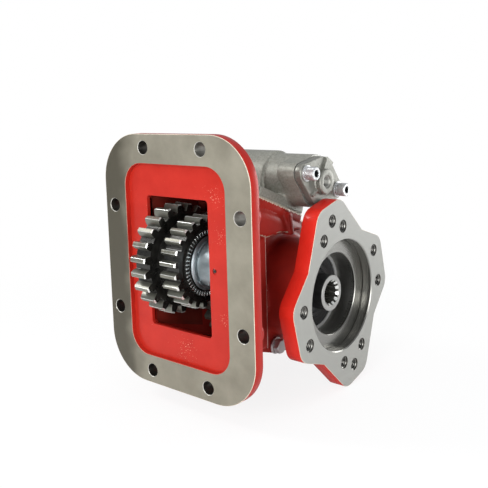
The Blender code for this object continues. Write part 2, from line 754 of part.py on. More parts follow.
def idler_parts(steel, polished, dark):
    """The fixed shaft, its pin, rollers, washers and circlip."""
    shaft = rod(IDLER_LEFT, IDLER_RIGHT, IDLER_RADIUS, 20, 1.2)
    washer_right = COLLAR_END + GAP
    clip = washer_right + 2.0 + GAP
    groove = tube(clip - 0.1, clip + CIRCLIP_THICKNESS + GAP, IDLER_RADIUS - CIRCLIP_DEPTH - GAP,
                  IDLER_RADIUS + 2)
    hole = prism(circle(PILOT_HOLE_RADIUS, 10, PILOT_HOLE_X), -INPUT_Y, PIN_BACK + GAP - INPUT_Y, "Y")
    finish(cut(shaft, groove, hole), "idler_shaft", polished, INPUT)
    pin = prism(circle(PIN_RADIUS, 10, PILOT_HOLE_X), POCKET_DEPTH + GAP - INPUT_Y,
                PIN_BACK - INPUT_Y, "Y")
    finish(pin, "shaft_pin", dark, INPUT)

    needle_cage("needle_cage_left", BIG_LEFT + 2, steel, INPUT)
    needle_cage("needle_cage_right", COLLAR_END - 2 - NEEDLE_CAGE_LENGTH, steel, INPUT)
    finish(tube(GAP - WINDOW_HALF_WIDTH, BIG_LEFT - GAP, IDLER_RADIUS + GAP, WASHER_RADIUS),
           "thrust_washer_left", steel, INPUT)
    finish(tube(washer_right, washer_right + 2.0, IDLER_RADIUS + GAP, BEARING_BORE - 0.2),
           "thrust_washer_right", steel, INPUT)
    snap = prism(sector(IDLER_RADIUS - CIRCLIP_DEPTH, IDLER_RADIUS + 1.8, 215, 505, 18),
                 clip, clip + CIRCLIP_THICKNESS)
    finish(snap, "idler_circlip", dark, INPUT)


# Output shaft, driven gear and dog ring

def dogs(low, high, turn):
    """Face dogs, evenly spaced round a ring."""
    step = 360 / DOG_COUNT
    return [prism(sector(DOG_INNER, DOG_OUTER, turn + step * k - DOG_WIDTH / 2,
                         turn + step * k + DOG_WIDTH / 2, 1), low, high) for k in range(DOG_COUNT)]


def driven_gear(steel):
    """In constant mesh with the big input gear, with face dogs on its right side."""
    facing = -CENTRE_LINE_FALL
    steps = round((facing - BIG_PHASE) / (2 * math.pi / BIG_TEETH))
    offset = BIG_PHASE + steps * 2 * math.pi / BIG_TEETH - facing
    gap_angle = facing + math.pi - offset * BIG_TEETH / DRIVEN_TEETH
    gear = prism(gear_outline(DRIVEN_TEETH, MODULE, gap_angle + math.pi / DRIVEN_TEETH),
                 BIG_LEFT, BIG_RIGHT)
    fuse(gear, *dogs(BIG_RIGHT - 1, BIG_RIGHT + DOG_HEIGHT, 0))
    bore = rod(BIG_LEFT - 1, BIG_RIGHT + 1, BEARING_BORE)
    return finish(cut(gear, bore), "driven_gear", steel, OUTPUT, 30)


def output_shaft(steel):
    """Left journal, roller journal, splined part, bearing journal and splined socket."""
    spline_left = BIG_RIGHT + 5.6
    collar_left = INNER_LEFT + 0.6
    blank = turned([(SHAFT_LEFT, 0), (SHAFT_LEFT, SHAFT_LEFT_RADIUS - 1),
                    (SHAFT_LEFT + 1, SHAFT_LEFT_RADIUS),
                    (LEFT_BEARING_X + LEFT_BEARING_WIDTH + GAP, SHAFT_LEFT_RADIUS),
                    (LEFT_BEARING_X + LEFT_BEARING_WIDTH + GAP, SHAFT_RADIUS),
                    (collar_left, SHAFT_RADIUS), (collar_left, SHAFT_COLLAR),
                    (BIG_LEFT - GAP, SHAFT_COLLAR), (BIG_LEFT - GAP, SHAFT_RADIUS),
                    (spline_left + 1, SHAFT_RADIUS), (spline_left + 1, SPLINE_LOW - 0.5),
                    (SPLINE_RIGHT - 0.5, SPLINE_LOW - 0.5), (SPLINE_RIGHT - 0.5, SHAFT_COLLAR),
                    (SHOULDER_X, SHAFT_COLLAR), (SHOULDER_X, SHAFT_RADIUS),
                    (HUB_SHOULDER, SHAFT_RADIUS), (HUB_SHOULDER + 2, HUB_END_RADIUS),
                    (HUB_END - 1, HUB_END_RADIUS), (HUB_END, HUB_END_RADIUS - 1), (HUB_END, 0)], 16)
    ribs = prism(spline_outline(SPLINE_TEETH, SPLINE_LOW, SPLINE_HIGH, SPLINE_WIDTH),
                 spline_left, SPLINE_RIGHT)
    fuse(blank, ribs)
    width = math.pi * OUTLET_LOW / OUTLET_TEETH
    socket = prism(spline_outline(OUTLET_TEETH, OUTLET_LOW, OUTLET_HIGH, width),
                   HUB_END - OUTLET_DEPTH, HUB_END + 1)
    return finish(cut(blank, socket), "output_shaft", steel, OUTPUT, 30)


def clutch_ring(steel):
    """Slides on the splines. Its dogs fit between those of the driven gear."""
    right = RING_LEFT + RING_WIDTH
    ring = turned([(RING_LEFT, 0), (RING_LEFT, DOG_OUTER), (RING_LEFT + 2, DOG_OUTER),
                   (GROOVE_LEFT, RING_RADIUS),
                   (GROOVE_LEFT, GROOVE_RADIUS), (GROOVE_LEFT + GROOVE_WIDTH, GROOVE_RADIUS),
                   (GROOVE_LEFT + GROOVE_WIDTH, RING_RADIUS), (right, RING_RADIUS), (right, 0)], 18)
    fuse(ring, *dogs(RING_LEFT - DOG_HEIGHT + 0.4, RING_LEFT + 1, 180 / DOG_COUNT))
    bore = prism(spline_outline(SPLINE_TEETH, SPLINE_LOW, SPLINE_HIGH, SPLINE_WIDTH, GAP),
                 RING_LEFT - 1, right + 1)
    return finish(cut(ring, bore), "clutch_ring", steel, OUTPUT, 30)


def bearing(name, low, width, inner, outer, ball, steel, cage):
    """A ball bearing: two grooved rings and a caged row of balls."""
    middle = (inner + outer) / 2
    x = low + width / 2
    near = middle - 0.45 * ball
    far = middle + 0.45 * ball
    reach = ball
    deep = 1.1 * ball
    inner_ring = turned([(low, inner), (low + width, inner), (low + width, near), (x + reach, near),
                         (x + 0.7 * reach, middle - deep), (x - 0.7 * reach, middle - deep),
                         (x - reach, near), (low, near)], 16)
    outer_ring = turned([(low, outer), (low + width, outer), (low + width, far), (x + reach, far),
                         (x + 0.7 * reach, middle + deep), (x - 0.7 * reach, middle + deep),
                         (x - reach, far), (low, far)], 16)
    balls = caged_row(x - 0.75 * ball, x + 0.75 * ball, 8, middle, ball * 0.84, 0.25 * ball)
    finish(inner_ring, name + "_inner_ring", steel, OUTPUT)
    finish(outer_ring, name + "_outer_ring", steel, OUTPUT)
    finish(balls, name + "_balls", cage, OUTPUT, 20)


def output_parts(steel, polished, rubber, dark, paint):
    """Bearings, rollers, washers, seal and circlip on the output axis, and the rear cover."""
    needle_cage("needle_cage_driven", BIG_LEFT + 0.5, steel, OUTPUT)
    finish(tube(BIG_RIGHT + GAP, BIG_RIGHT + 5.6 - GAP, SHAFT_RADIUS + GAP, 31.0),
           "driven_thrust_washer", steel, OUTPUT)
    bearing("left_bearing", LEFT_BEARING_X, LEFT_BEARING_WIDTH, SHAFT_LEFT_RADIUS + GAP,
            LEFT_BEARING_RADIUS, 4.4, polished, steel)
    bearing("right_bearing", SHOULDER_X + GAP, BEARING_WIDTH, SHAFT_RADIUS + GAP, SEAL_BORE - GAP,
            4.8, polished, steel)
    low = SHOULDER_X + 2 * GAP + BEARING_WIDTH
    high = low + SEAL_WIDTH
    lip = (SHAFT_RADIUS + GAP) / math.cos(math.pi / SEAL_STEPS)
    seal = turned([(low, lip + 2), (high - 3, lip), (high, lip + 1.4), (high, lip + 6),
                   (high - 2, lip + 8), (high, SEAL_BORE - GAP - 2), (high, SEAL_BORE - GAP),
                   (low, SEAL_BORE - GAP)], SEAL_STEPS)
    finish(seal, "oil_seal", rubber, OUTPUT)
    clip = high + GAP
    snap = prism(sector(SEAL_BORE - 3.0, SEAL_BORE + CIRCLIP_DEPTH, -168, 168, 20),
                 clip, clip + CIRCLIP_THICKNESS)
    lugs = []
    for turn in (-162, 162):
        a = math.radians(turn)
        lug = prism(circle(3.2, 8, (SEAL_BORE - 5) * math.cos(a), (SEAL_BORE - 5) * math.sin(a)),
                    clip, clip + CIRCLIP_THICKNESS)
        lugs.append(lug)
    finish(fuse(snap, *lugs), "seal_circlip", polished, OUTPUT)

    right = BEARING_BOSS_LEFT - GAP
    cover = turned([(right, 24.0), (right, BEARING_BOSS_RADIUS), (right - 5, BEARING_BOSS_RADIUS),
                    (right - 5, COVER_BOLT_RADIUS - 5.8), (right - 8, COVER_BOLT_RADIUS - 9),
                    (right - 8, 0), (right - 3.5, 0), (right - 3.5, 24.0)], 16)
    holes = []
    for k in range(4):
        a = math.radians(45 + 90 * k)
        y, z = COVER_BOLT_RADIUS * math.cos(a), COVER_BOLT_RADIUS * math.sin(a)
        holes.append(moved(rod(right - 12, right + 1, 3.0 + GAP, 8), 0, y, z))
        bolt = hex_bolt(-right - 9, -right + 5 + GAP, -right + 9.2, 3.0, 9.0, 10)
        bolt.data.transform(Matrix.Rotation(math.pi, 4, "Z"))
        finish(moved(bolt, 0, -y, z), "rear_cover_bolt_%d" % (k + 1), dark, OUTPUT)
    finish(cut(cover, gather(holes)), "rear_cover", paint, OUTPUT)

    seat = DRUM_RIGHT + GAP
    washer = moved(tube(seat, seat + 2.0, 5.0 + GAP, 8.1, 14), 0, DRAIN_Y, DRAIN_Z)
    finish(washer, "drain_washer", polished, OUTPUT)
    plug = hex_bolt(DRUM_INNER_RIGHT + 0.6, seat + 2.0 + GAP, seat + 8.2, 5.0, 12.0)
    finish(moved(plug, 0, DRAIN_Y, DRAIN_Z), "drain_plug", polished, OUTPUT)


# Shift cylinder

def ear_outline(radius, ears):
    """A round middle with an ear for a screw on either side."""
    return hull(circle(radius, 28) + circle(ears, 16, SCREW_SPACING) + circle(ears, 16, -SCREW_SPACING))


def foot_outline(front, back):
    return [(front - CYLINDER_S, SHIFT_BOTTOM), (back - CYLINDER_S, SHIFT_BOTTOM),
            (back - CYLINDER_S, SHIFT_BOTTOM + FOOT_THICKNESS),
            (front - CYLINDER_S, SHIFT_BOTTOM + FOOT_THICKNESS)]


def shift_cylinder(alloy):
    """Cast body on a flat foot, with a bore for the piston and a room for the fork."""
    web = hull(circle(BODY_RADIUS, ROUND_STEPS) + [(WEB_FRONT_S - CYLINDER_S, SHIFT_BOTTOM),
                                          (PAD_BACK_S - CYLINDER_S, SHIFT_BOTTOM)])
    body = prism(web, BODY_LEFT, COLLAR_LEFT)
    foot = prism(foot_outline(PAD_FRONT_S, PAD_BACK_S), RIM_LEFT, RIM_RIGHT)
    barrel = turned([(COLLAR_LEFT - 2, 0), (COLLAR_LEFT - 2, COLLAR_RADIUS),
                     (COLLAR_RIGHT - 2, COLLAR_RADIUS), (COLLAR_RIGHT + 1, BARREL_RADIUS),
                     (EAR_FLANGE + 1, BARREL_RADIUS), (EAR_FLANGE + 1, 0)], ROUND_STEPS)
    ears = prism(ear_outline(COVER_RADIUS, EAR_RADIUS), EAR_FLANGE, COVER_JOINT)
    bosses = [moved(rod(COLLAR_RIGHT + 4, EAR_FLANGE + 1, EAR_RADIUS, 20, 2), 0, side * SCREW_SPACING)
              for side in (-1, 1)]
    fuse(body, foot, barrel, ears, *bosses)
    piston_bore = rod(BORE_LEFT, COVER_JOINT + 1, BORE_RADIUS)
    room = rod(SLOT_X[0], BORE_LEFT - PARTITION, FORK_ROOM)
    rod_hole = rod(ROD_LEFT - STROKE - 2, BORE_LEFT + 1, ROD_RADIUS + GAP, 12)
    slot = [(SLOT_S[0] - CYLINDER_S, SHIFT_BOTTOM - 1), (SLOT_S[1] - CYLINDER_S, SHIFT_BOTTOM - 1),
            (SLOT_S[1] - CYLINDER_S, 0), (SLOT_S[0] - CYLINDER_S, 0)]
    threads = [moved(rod(COLLAR_RIGHT + 10, COVER_JOINT + 1, SCREW_SHANK + GAP, 10), 0,
                     side * SCREW_SPACING) for side in (-1, 1)]
    bolts = [prism(circle(SCREW_SHANK + GAP, 10, x, s - CYLINDER_S), SHIFT_BOTTOM - 1,
                   SHIFT_BOTTOM + FOOT_THICKNESS + 1, "Z") for x, s in FOOT_BOLTS]
    cut(body, piston_bore, room, rod_hole, prism(slot, *SLOT_X), gather(threads), gather(bolts))
    return finish(body, "shift_cylinder", alloy, SHIFT)


def cylinder_cover(alloy, bright):
    """End cover with an air port, held by two cap screws on washers."""
    cover = prism(ear_outline(COVER_RADIUS, EAR_RADIUS), COVER_JOINT + GAP, COVER_FACE)
    fuse(cover, rod(COVER_FACE - 1, COVER_FACE + PORT_LENGTH, PORT_RADIUS, 24, 0.8))
    holes = [moved(rod(COVER_JOINT - 1, COVER_FACE + 1, SCREW_SHANK + GAP, 10), 0,
                   side * SCREW_SPACING) for side in (-1, 1)]
    port = turned([(COVER_JOINT - 1, 0), (COVER_JOINT - 1, 2.5), (COVER_FACE - 1, 2.5),
                   (COVER_FACE - 1, PORT_BORE), (COVER_FACE + PORT_LENGTH + 1, PORT_BORE),
                   (COVER_FACE + PORT_LENGTH + 1, 0)], 16)
    finish(cut(cover, gather(holes), port), "end_cover", alloy, SHIFT)
    for k, side in enumerate((-1, 1)):
        y = side * SCREW_SPACING
        seat = COVER_FACE + GAP
        flat = moved(tube(seat, seat + 1.7, SCREW_SHANK + GAP, 7.2, 10), 0, y)
        finish(flat, "flat_washer_%d" % (k + 1), bright, SHIFT)
        seat += 1.7 + GAP
        spring = moved(tube(seat, seat + 2.0, SCREW_SHANK + GAP, 6.2, 10), 0, y)
        finish(spring, "lock_washer_%d" % (k + 1), bright, SHIFT)
        seat += 2.0 + GAP
        screw = socket_screw(COLLAR_RIGHT + 11, seat, seat + 8.0, SCREW_SHANK, SCREW_HEAD, 3.4)
        finish(moved(screw, 0, y), "cover_screw_%d" % (k + 1), bright, SHIFT)


def foot_fasteners(gasket_material, dark):
    """Gasket under the foot and the four bolts through it."""
    seal = prism([(PAD_FRONT_S - CYLINDER_S, PAD_N + GAP - CYLINDER_N),
                  (PAD_BACK_S - CYLINDER_S, PAD_N + GAP - CYLINDER_N),
                  (PAD_BACK_S - CYLINDER_S, PAD_N + GAP + GASKET - CYLINDER_N),
                  (PAD_FRONT_S - CYLINDER_S, PAD_N + GAP + GASKET - CYLINDER_N)], RIM_LEFT, RIM_RIGHT)
    slot = [(SLOT_X[0], SLOT_S[0] - CYLINDER_S), (SLOT_X[1], SLOT_S[0] - CYLINDER_S),
            (SLOT_X[1], SLOT_S[1] - CYLINDER_S), (SLOT_X[0], SLOT_S[1] - CYLINDER_S)]
    tools = [prism(slot, SHIFT_BOTTOM - 5, SHIFT_BOTTOM + 1, "Z")]
    for x, s in FOOT_BOLTS:
        tools.append(prism(circle(SCREW_SHANK + GAP, 10, x, s - CYLINDER_S), SHIFT_BOTTOM - 5,
                           SHIFT_BOTTOM + 1, "Z"))
    finish(cut(seal, gather(tools)), "foot_gasket", gasket_material, SHIFT)
    for k, (x, s) in enumerate(FOOT_BOLTS):
        top = FOOT_BOTTOM + FOOT_THICKNESS + GAP
        screw = socket_screw(PAD_INNER_N + 0.4, top, top + 7.5, SCREW_SHANK, SCREW_HEAD, 3.4)
        screw.data.transform(Matrix.Rotation(-math.pi / 2, 4, "Y"))
        moved(screw, x, s - CYLINDER_S, -CYLINDER_N)
        finish(screw, "foot_bolt_%d" % (k + 1), dark, SHIFT)


def spring_coil(low, high, radius, wire, turns):
    """Round wire wound into a coil along X."""
    bm = bmesh.new()
    sides = 4
    steps = int(turns * 7)
    rings = []
    for i in range(steps + 1):
        a = 2 * math.pi * turns * i / steps
        x = low + wire + (high - low - 2 * wire) * i / steps
        ring = []
        for j in range(sides):
            b = 2 * math.pi * j / sides
            reach = radius + wire * math.cos(b)
            ring.append(bm.verts.new((x + wire * math.sin(b), reach * math.cos(a), reach * math.sin(a))))
        rings.append(ring)
    for a, b in zip(rings, rings[1:]):
        for j in range(sides):
            bm.faces.new((a[j - 1], a[j], b[j], b[j - 1]))
    bm.faces.new(rings[0])
    bm.faces.new(rings[-1])
    return new_object(bm)


def shift_parts(steel, polished, rubber, cast):
    """Rod, piston, seal, nut, return spring and the fork that moves the dog ring."""
    collar = PISTON_LEFT - GAP
    right = PISTON_LEFT + PISTON_WIDTH
    pin_x = FORK_LEFT + FORK_THICKNESS / 2
    bar = turned([(ROD_LEFT, 0), (ROD_LEFT, ROD_RADIUS - 1), (ROD_LEFT + 1, ROD_RADIUS),
                  (collar - 3, ROD_RADIUS), (collar - 3, 9.0), (collar, 9.0), (collar, ROD_RADIUS),
                  (right + 5.6, ROD_RADIUS), (right + 6.6, ROD_RADIUS - 1), (right + 6.6, 0)], 12)
    pin_hole = circle(FORK_PIN_RADIUS + GAP, 10, pin_x, 0)
    hole = prism(pin_hole, -2 * ROD_RADIUS, 2 * ROD_RADIUS, "Z")
    finish(cut(bar, hole), "shift_rod", polished, SHIFT)
    groove = BORE_RADIUS - 3.5
    ring_low = PISTON_LEFT + PISTON_WIDTH / 2 - 2
    piston = turned([(PISTON_LEFT, ROD_RADIUS + GAP), (PISTON_LEFT, BORE_RADIUS - GAP),
                     (ring_low, BORE_RADIUS - GAP), (ring_low, groove), (ring_low + 4, groove),
                     (ring_low + 4, BORE_RADIUS - GAP), (right, BORE_RADIUS - GAP),
                     (right, ROD_RADIUS + GAP)], 14)
    finish(piston, "piston", steel, SHIFT)
    finish(tube(ring_low + GAP, ring_low + 4 - GAP, groove + GAP, BORE_RADIUS - 0.15),
           "piston_seal", rubber, SHIFT)
    nut = prism(circle(9.0 / math.cos(math.pi / 6), 6), right + GAP, right + 5.0)
    finish(cut(nut, rod(right - 1, right + 8, ROD_RADIUS + GAP, 16)), "piston_nut", steel, SHIFT)
    finish(spring_coil(BORE_LEFT + GAP, collar - 3 - GAP, SPRING_RADIUS, SPRING_WIRE, SPRING_TURNS),
           "return_spring", steel, SHIFT)

    axis_y = OUTPUT_Y * math.cos(PAD_TILT) - OUTPUT_Z * math.sin(PAD_TILT) - CYLINDER_S
    axis_z = OUTPUT_Y * math.sin(PAD_TILT) + OUTPUT_Z * math.cos(PAD_TILT) - CYLINDER_N
    fork = prism(sector(GROOVE_RADIUS + 0.6, FORK_OUTER, 55, 215, 10), FORK_LEFT,
                 FORK_LEFT + FORK_THICKNESS)
    moved(fork, 0, axis_y, axis_z)
    arm = prism([(-FORK_ARM_HALF, axis_z + 4), (FORK_ARM_HALF, axis_z + 4), (FORK_ARM_HALF, 0),
                 (-FORK_ARM_HALF, 0)], FORK_LEFT, FORK_LEFT + FORK_THICKNESS)
    hub = rod(pin_x - 5.9, pin_x + 5.9, FORK_HUB_RADIUS, 16)
    fuse(fork, arm, hub)
    cut(fork, rod(pin_x - 10, pin_x + 10, ROD_RADIUS + GAP, 14),
        prism(pin_hole, 0, FORK_HUB_RADIUS + 1, "Z"))
    finish(fork, "shift_fork", cast, SHIFT)
    pin = prism(circle(FORK_PIN_RADIUS, 10, pin_x, 0), -ROD_RADIUS + 0.5, FORK_HUB_RADIUS - 0.5, "Z")
    finish(pin, "fork_pin", steel, SHIFT)


def main():
    clear_scene()
    paint = material("red_paint", (0.62, 0.03, 0.018), 0.0, 0.25)
    gear_steel = material("gear_steel", (0.33, 0.31, 0.27), 1.0, 0.38)
    steel = material("steel", (0.45, 0.45, 0.44), 1.0, 0.35)
    polished = material("polished_steel", (0.66, 0.68, 0.7), 1.0, 0.15)
    dark = material("dark_steel", (0.08, 0.08, 0.085), 1.0, 0.45)
    alloy = material("cast_alloy", (0.36, 0.36, 0.32), 0.7, 0.5)
    bright = material("zinc_plated", (0.75, 0.76, 0.76), 1.0, 0.2)
    rubber = material("black_rubber", (0.012, 0.012, 0.012), 0.0, 0.6)
    paper = material("gasket", (0.06, 0.1, 0.08), 0.0, 0.8)
    cast = material("cast_iron", (0.2, 0.19, 0.18), 0.8, 0.55)

    mounting_flange(paint)
    housing(paint)
    flange_neck(paint)
    pump_flange(paint)
    input_gear(gear_steel)
    idler_parts(steel, polished, dark)
    driven_gear(gear_steel)
    output_shaft(steel)
    clutch_ring(steel)
    output_parts(steel, polished, rubber, dark, paint)
    shift_cylinder(alloy)
    cylinder_cover(alloy, bright)
    foot_fasteners(paper, dark)
    shift_parts(steel, polished, rubber, cast)


main()
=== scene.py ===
import math

import bmesh
import bpy
from mathutils import Matrix, Vector


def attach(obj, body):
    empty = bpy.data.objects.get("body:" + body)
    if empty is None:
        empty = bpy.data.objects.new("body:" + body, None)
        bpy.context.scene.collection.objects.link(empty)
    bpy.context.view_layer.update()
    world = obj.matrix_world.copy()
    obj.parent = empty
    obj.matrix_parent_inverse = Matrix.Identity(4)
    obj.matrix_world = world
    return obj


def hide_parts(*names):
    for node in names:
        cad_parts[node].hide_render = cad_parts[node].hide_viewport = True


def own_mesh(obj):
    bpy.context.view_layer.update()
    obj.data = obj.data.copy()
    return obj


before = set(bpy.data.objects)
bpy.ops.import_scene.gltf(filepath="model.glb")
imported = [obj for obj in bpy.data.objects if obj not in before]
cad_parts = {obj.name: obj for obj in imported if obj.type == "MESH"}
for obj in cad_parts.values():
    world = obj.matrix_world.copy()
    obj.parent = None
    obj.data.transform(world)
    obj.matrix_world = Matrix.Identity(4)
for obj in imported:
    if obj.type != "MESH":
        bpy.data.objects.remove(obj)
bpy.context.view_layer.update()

# Studio
# A pale floor, a large soft lamp in front, small ones at the upper left, right, top and back, and
# a white surround. The camera stands where the photographer's did.
MM = 0.001
scene = bpy.context.scene
scene.view_settings.view_transform = "Standard"

AZIMUTH, ELEVATION, ROLL = (math.radians(a) for a in (40.66, 7.51, -1.8))
DISTANCE = 546.32 * MM
LOOK_AT = Vector((61.5, 0.0, 69.63)) * MM
FOCAL_PIXELS = 701.31
CENTRE_PIXEL = (227.37, 189.33)
PICTURE = 488

camera = bpy.data.objects.new("camera", bpy.data.cameras.new("camera"))
scene.collection.objects.link(camera)
camera.data.sensor_width = 36.0
camera.data.lens = 36.0 * FOCAL_PIXELS / PICTURE
camera.data.shift_x = 0.5 - CENTRE_PIXEL[0] / PICTURE
camera.data.shift_y = CENTRE_PIXEL[1] / PICTURE - 0.5
camera.data.clip_start = 0.01
away = Vector((math.sin(AZIMUTH) * math.cos(ELEVATION), -math.cos(AZIMUTH) * math.cos(ELEVATION),
               math.sin(ELEVATION)))
camera.matrix_world = (Matrix.Translation(LOOK_AT + away * DISTANCE)
                       @ Matrix.Rotation(AZIMUTH, 4, "Z")
                       @ Matrix.Rotation(math.pi / 2 - ELEVATION, 4, "X")
                       @ Matrix.Rotation(ROLL, 4, "Z"))
scene.camera = camera


def soft_lamp(name, power, size, place):
    """A square soft lamp that looks at the middle of the unit."""
    lamp = bpy.data.lights.new(name, "AREA")
    lamp.energy = power
    lamp.size = size
    holder = bpy.data.objects.new(name, lamp)
    scene.collection.objects.link(holder)
    holder.location = place
    aim = Vector((0.03, 0.06, 0.0)) - Vector(place)
    holder.rotation_euler = aim.to_track_quat("-Z", "Y").to_euler()


def added(tree, kind, values=None, **settings):
    """A new node of a tree, with its settings and the values of its inputs."""
    node = tree.nodes.new(kind)
    for name, value in settings.items():
        setattr(node, name, value)
    for name, value in (values or {}).items():
        node.inputs[name].default_value = value
    return node


def linked(tree, *links):
    """Links in a tree, each given as a node, its output, the next node and its input."""
    for source, leaving, target, entering in links:
        tree.links.new(source.outputs[leaving], target.inputs[entering])


soft_lamp("key_lamp", 11.5, 0.55, (0.32, -1.0, 0.35))
soft_lamp("left_lamp", 4.5, 0.3, (-0.75, -0.42, 0.75))
soft_lamp("side_lamp", 4.5, 0.5, (1.0, -0.2, 0.05))
soft_lamp("top_lamp", 2.2, 0.8, (0.1, 0.2, 1.0))
soft_lamp("back_lamp", 3.5, 0.4, (0.35, 1.0, 0.1))

surround = bpy.data.worlds.new("surround")
scene.world = surround
surround.use_nodes = True
tree = surround.node_tree
tree.nodes.clear()
ambient = added(tree, "ShaderNodeBackground", {"Color": (0.42, 0.43, 0.45, 1), "Strength": 1.0})
white = added(tree, "ShaderNodeBackground", {"Color": (1, 1, 1, 1)})
path = added(tree, "ShaderNodeLightPath")
seen = added(tree, "ShaderNodeMixShader")
out = added(tree, "ShaderNodeOutputWorld")
linked(tree, (path, "Is Camera Ray", seen, 0), (ambient, 0, seen, 1), (white, 0, seen, 2),
       (seen, 0, out, "Surface"))

FLOOR_SIDE, FLOOR_HEIGHT = 9, -0.1295
floor_mesh = bpy.data.meshes.new("floor")
floor_mesh.from_pydata([(x * FLOOR_SIDE, y * FLOOR_SIDE, FLOOR_HEIGHT)
                        for x, y in ((-1, -1), (1, -1), (1, 1), (-1, 1))], [], [(0, 1, 2, 3)])
floor = bpy.data.objects.new("floor", floor_mesh)
scene.collection.objects.link(floor)
floor_finish = bpy.data.materials.new("floor_white")
floor_finish.use_nodes = True
tree = floor_finish.node_tree
tree.nodes.clear()
lit = added(tree, "ShaderNodeBsdfDiffuse", {"Color": (0.9, 0.9, 0.9, 1)})
glow = added(tree, "ShaderNodeEmission", {"Color": (1, 1, 1, 1)})
path = added(tree, "ShaderNodeLightPath")
place = added(tree, "ShaderNodeTexCoord")
distance = added(tree, "ShaderNodeVectorMath", operation="LENGTH")
fade = added(tree, "ShaderNodeMapRange", {"From Min": 0.2, "From Max": 0.6, "To Min": 0.84})
share = added(tree, "ShaderNodeMath", operation="MULTIPLY")
blend = added(tree, "ShaderNodeMixShader")
out = added(tree, "ShaderNodeOutputMaterial")
linked(tree, (place, "Object", distance, 0), (distance, "Value", fade, "Value"),
       (path, "Is Camera Ray", share, 0), (fade, "Result", share, 1), (share, 0, blend, 0),
       (lit, 0, blend, 1), (glow, 0, blend, 2), (blend, 0, out, "Surface"))
floor_mesh.materials.append(floor_finish)

# Mounting flange
# The front plate of the casting. Its face is milled bare, its rim, the sunken panel round the
# window and everything behind are painted red. Eight bolts hold it to the gearbox.
FLANGE_HALF = (84.85, 111.9)
FLANGE_CORNER = 42.0
FLANGE_BACK = 10.0
PANEL_HALF = (58.0, 86.0)
PANEL_CORNER = 20.0
PANEL_FLOOR = 4.6
WINDOW_HALF = (35.6, 58.1)
BOLT_HOLE = 5.95
BOLT_HOLES = [(sx * x, sz * z) for x, z in ((33.5, 100.0), (73.15, 47.25))
              for sx in (-1, 1) for sz in (-1, 1)]
PIN_HOLE = (41.0, 0.0)


def node_group(name, kind, inputs, outputs):
    """A node group with its sockets, and its two end nodes."""
    group = bpy.data.node_groups.new(name, kind)
    for way, sockets in (("INPUT", inputs), ("OUTPUT", outputs)):
        for label, sort in sockets.items():
            group.interface.new_socket(label, in_out=way, socket_type="NodeSocket" + sort)
    return group, group.nodes.new("NodeGroupInput"), group.nodes.new("NodeGroupOutput")


def noise_group(name, stretch):
    """A blotchy or streaked tone between 0 and 1."""
    sockets = {"Scale": "Float", "Contrast": "Float"}
    if stretch:
        sockets["Stretch"] = "Vector"
    group, given, out = node_group(name, "ShaderNodeTree", sockets, {"Tone": "Float"})
    source = (added(group, "ShaderNodeTexCoord"), "Object")
    if stretch:
        scaled = added(group, "ShaderNodeVectorMath", operation="MULTIPLY")
        linked(group, (*source, scaled, 0), (given, "Stretch", scaled, 1))
        source = (scaled, 0)
    noise = added(group, "ShaderNodeTexNoise", {"Detail": 6.0, "Roughness": 0.6})
    centred = added(group, "ShaderNodeMath", {1: 0.5}, operation="SUBTRACT")
    widened = added(group, "ShaderNodeMath", {2: 0.5}, operation="MULTIPLY_ADD", use_clamp=True)
    linked(group, (*source, noise, "Vector"), (given, "Scale", noise, "Scale"),
           (noise, "Fac", centred, 0), (centred, 0, widened, 0),
           (given, "Contrast", widened, 1), (widened, 0, out, "Tone"))
    return group


blotches = noise_group("blotches", False)
tool_marks = noise_group("tool_marks", True)

# Specks of missing paint, close together at a place and rarer away from it.
paint_chips, given, out = node_group("paint_chips", "ShaderNodeTree",
                                     {"Centre": "Vector", "Reach": "Float"}, {"Mask": "Float"})
place = added(paint_chips, "ShaderNodeTexCoord")
apart = added(paint_chips, "ShaderNodeVectorMath", operation="DISTANCE")
near = added(paint_chips, "ShaderNodeMath", operation="DIVIDE")
grain = added(paint_chips, "ShaderNodeTexNoise", {"Scale": 850.0, "Detail": 1.0})
least = added(paint_chips, "ShaderNodeMapRange", {"To Min": 0.64, "To Max": 0.82})
above = added(paint_chips, "ShaderNodeMath", operation="GREATER_THAN")
linked(paint_chips, (place, "Object", apart, 0), (given, "Centre", apart, 1),
       (apart, "Value", near, 0), (given, "Reach", near, 1), (near, 0, least, "Value"),
       (place, "Object", grain, "Vector"), (grain, "Fac", above, 0), (least, "Result", above, 1),
       (above, 0, out, "Mask"))

# Painted shade that grows towards one side.
shade_towards_side, given, out = node_group(
    "shade_towards_side", "ShaderNodeTree", {"Towards": "Vector", "Start": "Float", "Full": "Float"},
    {"Mask": "Float"})
place = added(shade_towards_side, "ShaderNodeTexCoord")
along = added(shade_towards_side, "ShaderNodeVectorMath", operation="DOT_PRODUCT")
cloud = added(shade_towards_side, "ShaderNodeTexNoise", {"Scale": 35.0})
spread = added(shade_towards_side, "ShaderNodeMath", {1: 0.03}, operation="MULTIPLY_ADD")
ramp = added(shade_towards_side, "ShaderNodeMapRange", interpolation_type="SMOOTHSTEP")
linked(shade_towards_side, (place, "Object", along, 0), (given, "Towards", along, 1),
       (place, "Object", cloud, "Vector"), (cloud, "Fac", spread, 0), (along, "Value", spread, 2),
       (spread, 0, ramp, "Value"), (given, "Start", ramp, "From Min"),
       (given, "Full", ramp, "From Max"), (ramp, "Result", out, "Mask"))


def mixed_in(made, group, colour, **values):
    """Lays a colour over a finish's base colour where the group's mask is."""
    tree = made.node_tree
    base = tree.nodes["Principled BSDF"].inputs["Base Color"]
    before = base.links[0].from_socket
    mask = added(tree, "ShaderNodeGroup", values, node_tree=group)
    over = added(tree, "ShaderNodeMix", {7: (*colour, 1)}, data_type="RGBA")
    tree.links.new(mask.outputs["Mask"], over.inputs[0])
    tree.links.new(before, over.inputs[6])
    tree.links.new(over.outputs[2], base)


